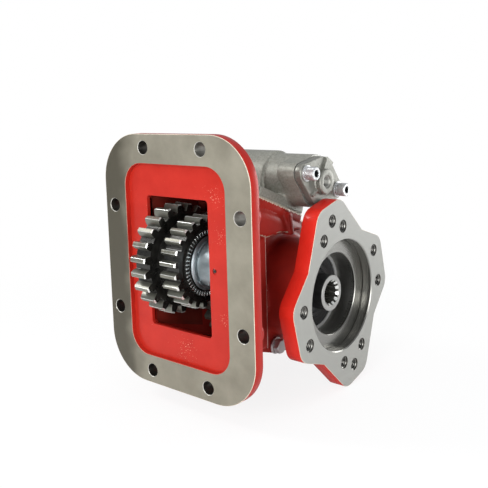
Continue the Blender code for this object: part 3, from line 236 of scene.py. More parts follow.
def toned(name, dark, light, metallic, rough, tone, height, bump, depth, coat=0.0, specular=0.5):
    """A material whose colour and gloss follow one pattern and whose relief follows another.

    A pattern is a node group with the values of its inputs. The depth is in millimetres.
    """
    made = bpy.data.materials.new(name)
    made.use_nodes = True
    made.diffuse_color = (*light, 1)
    tree = made.node_tree
    shader = tree.nodes["Principled BSDF"]
    for key, value in (("Metallic", metallic), ("Specular IOR Level", specular),
                       ("Coat Weight", coat), ("Coat Roughness", 0.08)):
        shader.inputs[key].default_value = value
    pattern = added(tree, "ShaderNodeGroup", tone[1], node_tree=tone[0])
    colour = added(tree, "ShaderNodeMix", {6: (*dark, 1), 7: (*light, 1)}, data_type="RGBA")
    gloss = added(tree, "ShaderNodeMapRange", {"To Min": rough[0], "To Max": rough[1]})
    linked(tree, (pattern, "Tone", colour, 0), (colour, 2, shader, "Base Color"),
           (pattern, "Tone", gloss, "Value"), (gloss, "Result", shader, "Roughness"))
    if bump:
        fine = added(tree, "ShaderNodeGroup", height[1], node_tree=height[0])
        relief = added(tree, "ShaderNodeBump", {"Strength": bump, "Distance": depth * MM})
        linked(tree, (fine, "Tone", relief, "Height"), (relief, "Normal", shader, "Normal"))
    return made


def finish(name, dark, light, metallic, rough, scale=60.0, contrast=1.6, stretch=None, bump=0.0,
           bump_scale=900.0, coat=0.0, specular=0.5):
    """A finish whose colour and gloss wander between two tones, with a fine relief."""
    group = tool_marks if stretch else blotches
    drawn = {"Stretch": stretch} if stretch else {}
    tone = (group, {"Scale": scale, "Contrast": contrast, **drawn})
    height = (group, {"Scale": bump_scale, "Contrast": 1.0, **drawn})
    return toned(name, dark, light, metallic, rough, tone, height, bump, 0.2, coat, specular)


red_paint = finish("red_paint", (0.31, 0.011, 0.007), (0.40, 0.018, 0.011), 0.0, (0.26, 0.4),
                   scale=45, bump=0.25, bump_scale=220, coat=0.12, specular=0.14)
panel_paint = finish("panel_paint", (0.34, 0.014, 0.008), (0.44, 0.024, 0.014), 0.0, (0.26, 0.4),
                     scale=45, bump=0.35, bump_scale=400, coat=0.12, specular=0.14)
for x, z, reach in ((44, 62, 22), (50, 30, 20), (6, -72, 26), (-36, 48, 6), (-36, -59, 3.5),
                    (-30, -61, 3), (50, -40, 16)):
    mixed_in(panel_paint, paint_chips, (0.60, 0.25, 0.18),
             Centre=(x * MM, PANEL_FLOOR * MM, z * MM), Reach=reach * MM)
milled_face = finish("milled_face", (0.16, 0.146, 0.110), (0.275, 0.257, 0.202), 0.35,
                     (0.42, 0.56), scale=30, contrast=1.9, bump=0.12, bump_scale=1600)
# The milled face darkens towards its left edge: painted shade.
mixed_in(milled_face, shade_towards_side, (0.068, 0.061, 0.042), Towards=(-1, 0, 0), Start=0.058,
         Full=0.082)
# Bare machined edges; the same finish is also a painted highlight along the case's ledge.
bare_edge_and_highlight = finish("bare_edge_and_highlight", (0.42, 0.33, 0.24), (0.66, 0.60, 0.49), 0.1, (0.35, 0.5), scale=300)
hole_edge = finish("hole_edge", (0.36, 0.35, 0.31), (0.52, 0.51, 0.46), 0.3, (0.3, 0.4), scale=300)
# Hole walls: a lighter copy that is painted light and a darker copy that is painted shade.
lit_bore = finish("lit_bore", (0.12, 0.115, 0.10), (0.32, 0.31, 0.275), 0.7, (0.3, 0.45),
                    scale=150)
shaded_bore = finish("shaded_bore", (0.02, 0.019, 0.016), (0.075, 0.070, 0.058), 0.7, (0.3, 0.45),
                   scale=150)
bored_steel = finish("bored_steel", (0.07, 0.066, 0.055), (0.2, 0.19, 0.165), 0.8, (0.3, 0.45),
                     scale=220)


def as_object(name, bm):
    """A mesh built in millimetres becomes an object in metres, with its faces outwards."""
    bmesh.ops.remove_doubles(bm, verts=bm.verts, dist=0.0005)
    bmesh.ops.recalc_face_normals(bm, faces=bm.faces)
    bmesh.ops.scale(bm, vec=(MM, MM, MM), verts=bm.verts)
    mesh = bpy.data.meshes.new(name)
    bm.to_mesh(mesh)
    bm.free()
    thing = bpy.data.objects.new(name, mesh)
    scene.collection.objects.link(thing)
    return thing


def circle(radius, steps=48, y=0.0, z=0.0):
    """Points round a circle."""
    return [(y + radius * math.cos(2 * math.pi * i / steps),
             z + radius * math.sin(2 * math.pi * i / steps)) for i in range(steps)]


def arc(radius, start, end, steps, y=0.0, z=0.0):
    """Points along an arc, with its ends in degrees."""
    turns = [math.radians(start + (end - start) * i / steps) for i in range(steps + 1)]
    return [(y + radius * math.cos(a), z + radius * math.sin(a)) for a in turns]


def rounded(half, corner, steps=16):
    """A rectangle with rounded corners, from its half sizes."""
    points = []
    for start, sx, sz in ((0, 1, 1), (90, -1, 1), (180, -1, -1), (270, 1, -1)):
        points += arc(corner, start, start + 90, steps, sx * (half[0] - corner),
                      sz * (half[1] - corner))
    return points


def prism(name, outline, low, high, axis="X"):
    """An outline in YZ, XZ or XY drawn out along X, Y or Z."""
    bm = bmesh.new()
    order = {"X": (2, 0, 1), "Y": (0, 2, 1), "Z": (0, 1, 2)}[axis]
    rings = [[bm.verts.new([(u, v, level)[i] for i in order]) for u, v in outline]
             for level in (low, high)]
    bm.faces.new(rings[0])
    bm.faces.new(rings[1])
    for i in range(len(outline)):
        bm.faces.new((rings[0][i - 1], rings[0][i], rings[1][i], rings[1][i - 1]))
    return as_object(name, bm)


def lathe(name, profile, steps=64):
    """A closed profile of (x, radius) points turned about the X axis."""
    bm = bmesh.new()
    rings = []
    for x, radius in profile:
        if radius == 0:
            rings.append([bm.verts.new((x, 0, 0))])
        else:
            rings.append([bm.verts.new((x, y, z)) for y, z in circle(radius, steps)])
    for a, b in zip(rings, rings[1:] + rings[:1]):
        if len(a) + len(b) == 2:
            continue
        for i in range(steps):
            ring = [a[(i - 1) % len(a)], a[i % len(a)], b[i % len(b)], b[(i - 1) % len(b)]]
            bm.faces.new(list(dict.fromkeys(ring)))
    return as_object(name, bm)


def rod(name, low, high, radius, steps):
    """A plain cylinder along the X axis."""
    return lathe(name, [(low, 0), (low, radius), (high, radius), (high, 0)], steps)


def oblong(left, right, low, high):
    """The four corners of a rectangle."""
    return [(left, low), (right, low), (right, high), (left, high)]


def applied(thing):
    """The object with its modifiers made part of its mesh."""
    depsgraph = bpy.context.evaluated_depsgraph_get()
    mesh = bpy.data.meshes.new_from_object(thing.evaluated_get(depsgraph))
    thing.modifiers.clear()
    thing.data = mesh
    return thing


def combined(body, operation, *tools):
    """Cuts, joins or keeps what is common with other solids, which are used up."""
    for tool in tools:
        modifier = body.modifiers.new("combine", "BOOLEAN")
        modifier.operation = operation
        modifier.solver = "EXACT"
        modifier.object = tool
        applied(body)
        bpy.data.objects.remove(tool, do_unlink=True)
    return body


def gathered(name, things):
    """Several solids held in one mesh, without joining them."""
    bm = bmesh.new()
    for thing in things:
        bm.from_mesh(thing.data)
        bpy.data.objects.remove(thing, do_unlink=True)
    mesh = bpy.data.meshes.new(name)
    bm.to_mesh(mesh)
    bm.free()
    made = bpy.data.objects.new(name, mesh)
    scene.collection.objects.link(made)
    return made


def bevelled(thing, width, segments=2, angle=32.0):
    """The sharp edges of a piece broken by a width in millimetres."""
    modifier = thing.modifiers.new("bevel", "BEVEL")
    modifier.width = width * MM
    modifier.segments = segments
    modifier.limit_method = "ANGLE"
    modifier.angle_limit = math.radians(angle)
    return applied(thing)


def shifted(thing, x=0.0, y=0.0, z=0.0):
    """A piece moved by millimetres."""
    thing.data.transform(Matrix.Translation((x * MM, y * MM, z * MM)))
    return thing


def turned(thing, degrees, axis):
    """A piece turned about an axis through the origin."""
    thing.data.transform(Matrix.Rotation(math.radians(degrees), 4, axis))
    return thing


def shown(thing, body, finishes, choose=None, smooth=35.0, stands_for=()):
    """Gives a piece its finishes, its shading and its body, and hides the model's parts that it
    stands for.
    """
    thing.data.materials.clear()
    for each in finishes:
        thing.data.materials.append(each)
    if choose:
        for face in thing.data.polygons:
            chosen = choose(face.center / MM, face.normal)
            face.material_index = finishes.index(chosen)
    thing.data.shade_smooth()
    thing.data.set_sharp_from_angle(angle=math.radians(smooth))
    for face in thing.data.polygons:
        face.use_smooth = len(face.vertices) < 9
    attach(thing, body)
    if stands_for:
        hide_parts(*stands_for)
    return thing


def chamfered_hole(radius, chamfer, low, high, face_low=True, steps=40):
    """A cutter along X with a chamfer where it leaves the face at low or high."""
    profile = [(low - 1, 0), (low - 1, radius), (high + 1, radius), (high + 1, 0)]
    if face_low:
        profile[1:2] = [(low - 1, radius + chamfer + 1), (low + chamfer, radius)]
    else:
        profile[2:3] = [(high - chamfer, radius), (high + 1, radius + chamfer + 1)]
    return lathe("cutter", profile, steps)


plate = prism("mounting_flange", rounded(FLANGE_HALF, FLANGE_CORNER, 20), 0, FLANGE_BACK, "Y")
bevelled(plate, 0.42, 2)
INPUT_Y = 26
SHAFT_HOLE = 20.3
SPOT_BACK = 15.5
spot_profile = [(8, 0), (8, 10.4), (SPOT_BACK - 0.8, 9.6), (SPOT_BACK, 8.8), (SPOT_BACK, 0)]
holes = [shifted(turned(chamfered_hole(BOLT_HOLE, 0.4, 0, SPOT_BACK), 90, "Z"), x, 0, z)
         for x, z in BOLT_HOLES]
spots = [shifted(turned(lathe("spot", spot_profile, 40), 90, "Z"), x, 0, z) for x, z in BOLT_HOLES]
combined(plate, "UNION", gathered("spots", spots))
panel = prism("cutter", rounded(PANEL_HALF, PANEL_CORNER, 14), -5, PANEL_FLOOR, "Y")
lip_outline = rounded([half + 0.5 for half in PANEL_HALF], PANEL_CORNER + 0.5, 14)
panel_lip = bevelled(prism("cutter", lip_outline, -5, 0.5, "Y"), 0.01, 1)
window_outline = rounded(WINDOW_HALF, 3.0, 6)
window = bevelled(prism("cutter", window_outline, 1, FLANGE_BACK + 4, "Y"), 0.01, 1)
pin = turned(chamfered_hole(2.4, 0.2, PANEL_FLOOR, 12, steps=20), 90, "Z")
shifted(pin, PIN_HOLE[0], 0, PIN_HOLE[1])
idler_room = shifted(rod("cutter", -50, 44.7, SHAFT_HOLE, 64), 0, INPUT_Y, 0)
combined(plate, "DIFFERENCE", gathered("cutter", holes), panel_lip, panel, window, pin, idler_room)


def flange_finish(centre, normal):
    """Milled face, bare edge line, hole walls with painted light and shade, or paint, by where the
    face lies.
    """
    in_hole = any(math.hypot(centre.x - x, centre.z - z) < BOLT_HOLE + 0.7 for x, z in BOLT_HOLES)
    if in_hole and abs(normal.y) < 0.9:
        if centre.y < 0.41:
            return hole_edge
        # The upper right holes get painted light, the others painted shade.
        return lit_bore if centre.x > 0 and centre.z > 20 else shaded_bore
    if centre.y < 0.02:
        return milled_face
    if centre.y < 0.43:
        return bare_edge_and_highlight
    if centre.y < PANEL_FLOOR + 0.1 and abs(centre.x) < PANEL_HALF[0] + 1:
        return panel_paint
    return red_paint


shown(plate, "housing_body",
      [red_paint, milled_face, bare_edge_and_highlight, shaded_bore, panel_paint, hole_edge, lit_bore],
      flange_finish, stands_for=["mounting_flange"])

# Case
# The hollow casting behind the flange: a square box round the input gear, a stepped drum round
# the output shaft, a wedge under the inclined pad and a round neck. Its corners are cast soft.
TILT = math.radians(21.8)
PAD_N = 73.6
PAD_BACK = 104.3
AXES_APART = 106
AXES_FALL = math.radians(22.4)
OUT_Y = INPUT_Y + AXES_APART * math.cos(AXES_FALL)
OUT_Z = -AXES_APART * math.sin(AXES_FALL)
DRUM_ROOM = 66.0
WALL = 5.0
LEFT, STEP, RIGHT = -44.0, -7.6, 25.0
INNER_LEFT = -37.0
BOX_RIGHT, BOX_BACK = 42.0, 76.5


def hull(points):
    """The convex outline around a set of points."""
    ordered = sorted(set(points))

    def chain(run):
        out = []
        for p in run:
            while len(out) > 1 and ((out[-1][0] - out[-2][0]) * (p[1] - out[-2][1])
                                    - (out[-1][1] - out[-2][1]) * (p[0] - out[-2][0])) <= 0:
                out.pop()
            out.append(p)
        return out[:-1]

    return chain(ordered) + chain(reversed(ordered))


def tilted(s, n):
    """World Y and Z of a point given along the inclined pad and along its normal."""
    return s * math.cos(TILT) + n * math.sin(TILT), n * math.cos(TILT) - s * math.sin(TILT)


def tilted_oblong(front, back, low, high):
    """A rectangle that leans with the inclined pad."""
    return [tilted(s, n) for s, n in oblong(front, back, low, high)]


def pad_height(y, n):
    """The height over a place of a plane that leans with the pad."""
    return (n - y * math.sin(TILT)) / math.cos(TILT)


def softened(thing, grain, rounds):
    """The overlapping solids in a mesh made one, with soft cast corners."""
    remesh = thing.modifiers.new("soften", "REMESH")
    remesh.mode = "VOXEL"
    remesh.voxel_size = grain * MM
    applied(thing)
    relaxed = thing.modifiers.new("relax", "SMOOTH")
    relaxed.factor = 0.5
    relaxed.iterations = rounds
    return applied(thing)


def side_room(radius, low, top, pad, left, right):
    """The side view of the case, drawn out along the shafts and cut off under the pad."""
    outline = hull([(8, low), (8, top)] + circle(radius, 120, OUT_Y, OUT_Z))
    above = tilted_oblong(-60, PAD_BACK + 1.5, pad, 200)
    return combined(prism("case", outline, left, right), "DIFFERENCE",
                    prism("cutter", above, left - 1, right + 1))


case = side_room(DRUM_ROOM + WALL, -70, 43, PAD_N - 0.6, LEFT, STEP)
box_side = [(8, -66), (BOX_BACK, -87.2), (BOX_BACK, pad_height(BOX_BACK, PAD_N - 2.6)),
            (8, pad_height(8, PAD_N - 2.6))]
box = prism("case", box_side, LEFT + 0.5, BOX_RIGHT)
plan = ([(LEFT - 1, 7), (BOX_RIGHT, 7)] + arc(6, 0, 90, 8, BOX_RIGHT - 6, BOX_BACK - 6)
        + [(LEFT - 1, BOX_BACK)])
combined(box, "INTERSECT", prism("cutter", plan, -150, 150, "Z"))
top_back = tilted(PAD_BACK - 0.6, PAD_N - 0.6)
LEDGE = [(8.0, 25.0), (56.0, 22.4), (68.0, 17.8), (85.0, 19.2), (103.0, 17.4), (123.0, 17.0)]


def shoulder(ledge, low_x):
    """The thick side under the pad: rounded at the top, upright below, cut off at the ledge."""
    bm = bmesh.new()
    sections = []
    for y, foot in ledge:
        top = pad_height(y, PAD_N - 6.0)
        sections.append([bm.verts.new((x, y, z)) for x, z in (
            (low_x, foot), (47.6, foot), (47.6, top - 9.5), (47.0, top - 6.0), (45.6, top - 2.8),
            (43.4, top), (low_x, top))])
    for a, b in zip(sections, sections[1:]):
        for i in range(len(a)):
            bm.faces.new((a[i - 1], a[i], b[i], b[i - 1]))
    bm.faces.new(sections[0])
    bm.faces.new(sections[-1])
    return as_object("case", bm)


wedge = prism("case", [(8, 24.0), (63.6, 22.0), (76.5, 17.0), (top_back[0] + 2, 15.0), top_back,
                       (8, pad_height(8, PAD_N - 0.6))], LEFT + 0.5, 43)
rib = prism("case", [(98.5, 15.0), (104.5, 15.0), (101.5, 35.5), (94.5, 37.5)], 41, 51.2)
rim = prism("case", tilted_oblong(22, PAD_BACK, PAD_N - 6.6, PAD_N + 2), -62, 46)
neck = shifted(lathe("case", [(22, 0), (22, 50), (25, 50), (28, 47), (70, 47), (73, 49), (76, 53),
                              (78, 53), (78, 0)], 96), 0, OUT_Y, OUT_Z)
bosses = [shifted(lathe("case", [(a, 0), (a, 24.5), (a + 1.5, 26), (b - 1.5, 26), (b, 24.5),
                                 (b, 0)], 72), 0, INPUT_Y, 0) for a, b in ((40, 48), (-48, -42))]
end_boss = shifted(rod("case", -58, -42, 42, 96), 0, OUT_Y, OUT_Z)
right_drum = side_room(DRUM_ROOM, -70, 43, PAD_N - 1.6, STEP - 1, RIGHT)
case = gathered("case", [case, right_drum, box, wedge, shoulder(LEDGE, 38), rib, rim, neck, *bosses,
                         end_boss])
softened(case, 1.3, 3)

low, high = -60.0, 38.0
cavity = side_room(DRUM_ROOM, low, high, PAD_N - 6.6, INNER_LEFT, STEP - WALL)
room = prism("case", [(10, low), (BOX_BACK - WALL, low - 18),
                      (BOX_BACK - WALL, pad_height(BOX_BACK - WALL, PAD_N - 6.6)),
                      (10, pad_height(10, PAD_N - 6.6))], INNER_LEFT, BOX_RIGHT - WALL)
right_room = side_room(DRUM_ROOM - WALL, low, high, PAD_N - 6.6, STEP - WALL - 1, RIGHT - 6)
combined(cavity, "UNION", room, right_room)
combined(cavity, "DIFFERENCE", prism("cutter", oblong(0, 9.5, -150, 150), -40, 40))
passage = prism("cutter", tilted_oblong(77, 95, 40, PAD_N + 3), -10, 14)
window = prism("cutter", window_outline, -2, 12, "Y")
front = prism("cutter", oblong(-99, 99, -160, 160), -8, PANEL_FLOOR + 1, "Y")
pad_top = prism("cutter", tilted_oblong(-40, PAD_BACK, PAD_N, PAD_N + 30), -80, 80)
shaft_bore = shifted(rod("cutter", -49, 44.7, SHAFT_HOLE, 64), 0, INPUT_Y, 0)
left_bore = shifted(lathe("cutter", [(-60, 0), (-60, 31.3), (-41, 31.3), (-41, 26), (-35, 26),
                                     (-35, 0)], 64), 0, OUT_Y, OUT_Z)
neck_bore = shifted(lathe("cutter", [(17, 0), (17, 30), (32, 30), (32, 37.5), (80, 37.5),
                                     (80, 0)], 96), 0, OUT_Y, OUT_Z)
DRAIN = (-18.8, -55.1)
drain_seat = shifted(rod("cutter", RIGHT, 40, 9.5, 40), 0, OUT_Y + DRAIN[0], OUT_Z + DRAIN[1])
combined(case, "DIFFERENCE", cavity, passage, window, front, pad_top, shaft_bore, left_bore,
         neck_bore, drain_seat)
case.name = "case_body"

# Fine rings round the output shaft's axis.
turned_marks, given, out = node_group("turned_marks", "ShaderNodeTree", {"Scale": "Float"},
                                      {"Tone": "Float"})
place = added(turned_marks, "ShaderNodeTexCoord")
from_axis = added(turned_marks, "ShaderNodeVectorMath", {1: (0, OUT_Y * MM, OUT_Z * MM)},
                  operation="SUBTRACT")
across = added(turned_marks, "ShaderNodeVectorMath", {1: (0, 1, 1)}, operation="MULTIPLY")
radius = added(turned_marks, "ShaderNodeVectorMath", operation="LENGTH")
parts = added(turned_marks, "ShaderNodeSeparateXYZ")
spot = added(turned_marks, "ShaderNodeCombineXYZ")
rings = added(turned_marks, "ShaderNodeTexNoise", {"Detail": 4.0})
linked(turned_marks, (place, "Object", from_axis, 0), (from_axis, 0, across, 0),
       (across, 0, radius, 0), (place, "Object", parts, 0), (parts, "X", spot, "X"),
       (radius, "Value", spot, "Y"), (spot, 0, rings, "Vector"), (given, "Scale", rings, "Scale"),
       (rings, "Fac", out, "Tone"))


def turned_finish(name, dark, light, rough, scale, bump, metallic=1.0, depth=0.05):
    """Steel turned about the output shaft's axis: rings in its colour, gloss and relief."""
    pattern = (turned_marks, {"Scale": scale})
    return toned(name, dark, light, metallic, rough, pattern, pattern, bump, depth)


turned_bore = turned_finish("turned_bore", (0.17, 0.167, 0.153), (0.40, 0.395, 0.37), (0.2, 0.3),
                            2600, 0.6, depth=0.04)
seal_bore = turned_finish("seal_bore", (0.20, 0.197, 0.183), (0.36, 0.355, 0.335), (0.3, 0.4),
                          2600, 1.0, depth=0.1)
case_paint = finish("case_paint", (0.24, 0.014, 0.010), (0.40, 0.026, 0.018), 0.0, (0.26, 0.42),
                    scale=35, contrast=1.9, bump=0.35, bump_scale=260, specular=0.2)
# A pale strip for the box's rounded back corner: painted highlight.
corner_highlight_paint = finish("corner_highlight_paint", (0.60, 0.20, 0.16), (0.90, 0.72, 0.66), 0.0, (0.16, 0.26),
                      scale=500, specular=0.5)
# A darker copy of the red paint for the inside of the case: painted shade.
shaded_inner_paint = finish("shaded_inner_paint", (0.10, 0.012, 0.008), (0.22, 0.020, 0.012), 0.0, (0.3, 0.5),
                     scale=60, specular=0.3)


def case_finish(centre, normal):
    """Paint outside, painted shade inside, bare metal on the pad, its line and in the bores,
    painted highlights on the ledge and the box's back corner.
    """
    s = centre.y * math.cos(TILT) - centre.z * math.sin(TILT)
    n = centre.y * math.sin(TILT) + centre.z * math.cos(TILT)
    if n > PAD_N - 0.1 and s < PAD_BACK + 0.5 and normal.z > 0.8:
        return milled_face
    if math.hypot(centre.y - OUT_Y, centre.z - OUT_Z) < 38 and centre.x > 18:
        return seal_bore if centre.x > 50 else bored_steel
    # The walls inside the box: painted shade.
    if INNER_LEFT - 1 < centre.x < BOX_RIGHT - WALL + 1 and 9.6 < centre.y < BOX_BACK - WALL + 1 \
            and abs(centre.z) < 61 and n < PAD_N - 5:
        return shaded_inner_paint
    # The box's rounded back corner: painted highlight.
    if BOX_RIGHT - 6 < centre.x < BOX_RIGHT + 1 and BOX_BACK - 6 < centre.y < BOX_BACK + 1 \
            and 0.3 < normal.x < 0.97 and normal.y > 0.2 and centre.z < 20:
        return corner_highlight_paint
    # A pale line along the ledge at the foot of the shoulder: painted highlight.
    feet = [b + (c - b) * (centre.y - a) / (d - a) for (a, b), (d, c) in zip(LEDGE, LEDGE[1:])
            if a <= centre.y <= d]
    if feet and 46.2 < centre.x < 48.2 and abs(centre.z - feet[0]) < 0.9:
        return bare_edge_and_highlight
    if n > PAD_N - 1.3 and centre.x > 20:
        return bare_edge_and_highlight
    return case_paint


shown(case, "housing_body",
      [case_paint, milled_face, bored_steel, seal_bore, shaded_inner_paint, bare_edge_and_highlight, corner_highlight_paint],
      case_finish, smooth=50, stands_for=["housing"])

# Pump flange
# The lobed flange at the end of the round neck, part of the casting. Its face, the recess that
# centres a pump and the seal bore are turned bright; its rim is painted red, lighter than the
# rest as painted light. Ten tapped holes, their walls darkened with painted shade.
FLANGE_FACE = 90.0
FLANGE_LOW = 75.0
PILOT_RADIUS = 50.8
PILOT_FLOOR = 79.8
SEAL_BORE = 37.5
TAPPED_RADIUS = 5.4
TAPPED_HOLES = [(63.5, a + t) for t in (0, 90, 180, 270) for a in (0, 29.5)]
TAPPED_HOLES += [(73.0, 104), (73.0, 284)]
TAPPED_PLACES = [(r * math.cos(math.radians(a)), r * math.sin(math.radians(a)))
                 for r, a in TAPPED_HOLES]
OUTPUT = Matrix.Translation((0, OUT_Y * MM, OUT_Z * MM))


def framed(thing, frame_matrix):
    """A piece moved from its own frame into the shared one."""
    thing.data.transform(frame_matrix)
    return thing


def placed(thing, place, body, only_finish, slot, *stands_for):
    """A piece of one finish, moved into the shared frame and shown."""
    return shown(framed(thing, place), body, [only_finish], stands_for=stands_for)


def ray_reach(outline, angle):
    """How far a ray from the middle goes before it leaves an outline."""
    dy, dz = math.cos(angle), math.sin(angle)
    best = 0.0
    for (y0, z0), (y1, z1) in zip(outline, outline[1:] + outline[:1]):
        across = dy * (z1 - z0) - dz * (y1 - y0)
        if abs(across) < 1e-12:
            continue
        reach = (y0 * (z1 - z0) - z0 * (y1 - y0)) / across
        share = (dy * -z0 + dz * y0) / across
        if reach > best and -1e-9 <= share <= 1 + 1e-9:
            best = reach
    return best


def lobed_outline(steps):
    """Lobes over the tapped holes, blended into the round middle by straight sides."""
    base = circle(63.0, 180)
    lobes = []
    for turn in (0, 180):
        along = math.radians(104 + turn)
        tall = list(base)
        for spread in (-10, 10):
            tall += circle(15.35, 90, 73 * math.cos(along) - spread * math.sin(along),
                           73 * math.sin(along) + spread * math.cos(along))
        side = list(base)
        for angle in (0, 29.5):
            a = math.radians(angle + turn)
            side += circle(15.2, 90, 63.5 * math.cos(a), 63.5 * math.sin(a))
        lobes += [hull(tall), hull(side)]
    turns = [2 * math.pi * i / steps for i in range(steps)]
    reaches = [max(ray_reach(lobe, a) for lobe in lobes) for a in turns]
    return [(r * math.cos(a), r * math.sin(a)) for r, a in zip(reaches, turns)]


lobes = bevelled(prism("pump_flange", lobed_outline(300), FLANGE_LOW, FLANGE_FACE), 0.35, 2)
recess = lathe("cutter", [
    (70, 0), (70, SEAL_BORE), (PILOT_FLOOR - 0.6, SEAL_BORE), (PILOT_FLOOR, SEAL_BORE + 0.6),
    (PILOT_FLOOR, PILOT_RADIUS - 1.4), (PILOT_FLOOR - 0.7, PILOT_RADIUS - 1.4),
    (PILOT_FLOOR - 0.7, PILOT_RADIUS + 0.5), (PILOT_FLOOR + 1.2, PILOT_RADIUS + 0.5),
    (PILOT_FLOOR + 1.2, PILOT_RADIUS), (FLANGE_FACE - 0.8, PILOT_RADIUS),
    (FLANGE_FACE + 1, PILOT_RADIUS + 1.8), (FLANGE_FACE + 1, 0)], 160)
tapped = [shifted(chamfered_hole(TAPPED_RADIUS, 0.5, FLANGE_LOW - 1, FLANGE_FACE, False, 32),
                  0, y, z) for y, z in TAPPED_PLACES]
combined(lobes, "DIFFERENCE", recess, gathered("cutter", tapped))
framed(lobes, OUTPUT)

flange_face = turned_finish("flange_face", (0.28, 0.28, 0.258), (0.34, 0.34, 0.314), (0.42, 0.5),
                            350, 0.05, 0.15)
thread_steel = finish("thread_steel", (0.07, 0.068, 0.062), (0.30, 0.295, 0.275), 1.0,
                      (0.2, 0.34), scale=300)
# A lighter copy of the red paint for the pump flange's rim: painted light.
lit_rim_paint = finish("lit_rim_paint", (0.43, 0.012, 0.007), (0.54, 0.020, 0.011), 0.0, (0.26, 0.4),
                   scale=45, bump=0.25, bump_scale=220, coat=0.12, specular=0.14)


def pump_flange_finish(centre, normal):
    """Lighter paint on the rim as painted light, bright face with a bare edge, turned recess,
    tapped holes in painted shade.
    """
    y, z = centre.y - OUT_Y, centre.z - OUT_Z
    reach = math.hypot(y, z)
    if centre.x > FLANGE_FACE - 0.02 and normal.x > 0.99:
        return flange_face
    if any(math.hypot(y - py, z - pz) < TAPPED_RADIUS + 0.7 for py, pz in TAPPED_PLACES) \
            and abs(normal.x) < 0.9:
        return shaded_bore
    if reach < PILOT_RADIUS + 2:
        return turned_bore
    if centre.x > FLANGE_FACE - 0.34:
        return bare_edge_and_highlight
    return lit_rim_paint


shown(lobes, "housing_body", [lit_rim_paint, flange_face, turned_bore, shaded_bore, bare_edge_and_highlight],
      pump_flange_finish, smooth=30, stands_for=["pump_flange", "flange_neck"])

# The threads in the ten holes: one ring of thread, set over and over by Geometry Nodes.
set_in_place, given, out = node_group(
    "set_in_place", "GeometryNodeTree",
    {"Places": "Geometry", "Part": "Object", "Finish": "Material", "Spread": "Float",
     "Seed": "Int"}, {"Pieces": "Geometry"})
turn = added(set_in_place, "GeometryNodeInputNamedAttribute", {"Name": "turn"},
             data_type="FLOAT_VECTOR")
stray = added(set_in_place, "FunctionNodeRandomValue", data_type="FLOAT")
below = added(set_in_place, "ShaderNodeMath", {1: -1.0}, operation="MULTIPLY")
twist = added(set_in_place, "ShaderNodeCombineXYZ")
total = added(set_in_place, "ShaderNodeVectorMath", operation="ADD")
part = added(set_in_place, "GeometryNodeObjectInfo")
put = added(set_in_place, "GeometryNodeInstanceOnPoints")
real = added(set_in_place, "GeometryNodeRealizeInstances")
coat = added(set_in_place, "GeometryNodeSetMaterial")
linked(set_in_place, (given, "Spread", below, 0), (below, 0, stray, 2),
       (given, "Spread", stray, 3), (given, "Seed", stray, "Seed"), (stray, 1, twist, "X"),
       (turn, "Attribute", total, 0), (twist, 0, total, 1), (given, "Places", put, "Points"),
       (given, "Part", part, "Object"), (part, "Geometry", put, "Instance"),
       (total, 0, put, "Rotation"), (put, "Instances", real, "Geometry"),
       (real, "Geometry", coat, "Geometry"), (given, "Finish", coat, "Material"),
       (coat, "Geometry", out, "Pieces"))


def repeated(name, part_object, places, part_finish, spread=0.0, seed=1):
    """One mesh of a part set at many places, each given as x, y, z in mm and three turns."""
    mesh = bpy.data.meshes.new(name)
    mesh.from_pydata([Vector(p[:3]) * MM for p in places], [], [])
    turns = mesh.attributes.new("turn", "FLOAT_VECTOR", "POINT")
    for item, p in zip(turns.data, places):
        item.vector = p[3:] if len(p) > 3 else (0, 0, 0)
    made = bpy.data.objects.new(name, mesh)
    scene.collection.objects.link(made)
    modifier = made.modifiers.new("set_in_place", "NODES")
    modifier.node_group = set_in_place
    values = {"Part": part_object, "Finish": part_finish, "Spread": spread, "Seed": seed}
    for item in set_in_place.interface.items_tree:
        if item.item_type == "SOCKET" and item.in_out == "INPUT" and item.name in values:
            modifier[item.identifier] = values[item.name]
    applied(made)
    bpy.data.objects.remove(part_object, do_unlink=True)
    for left in list(made.data.attributes):
        if left.name == "turn":
            made.data.attributes.remove(left)
    return made


thread_profile = [(0.0, TAPPED_RADIUS + 0.15), (0.0, TAPPED_RADIUS), (0.6, TAPPED_RADIUS - 0.75),
                  (0.9, TAPPED_RADIUS - 0.75), (1.5, TAPPED_RADIUS), (1.5, TAPPED_RADIUS + 0.15)]
thread_ring = lathe("thread_ring", thread_profile, 32)
threads = framed(repeated("flange_threads", thread_ring,
                          [(FLANGE_LOW + 1.8 + 1.75 * k, y, z) for k in range(7)
                           for y, z in TAPPED_PLACES], thread_steel), OUTPUT)
shown(threads, "housing_body", [thread_steel], smooth=30)

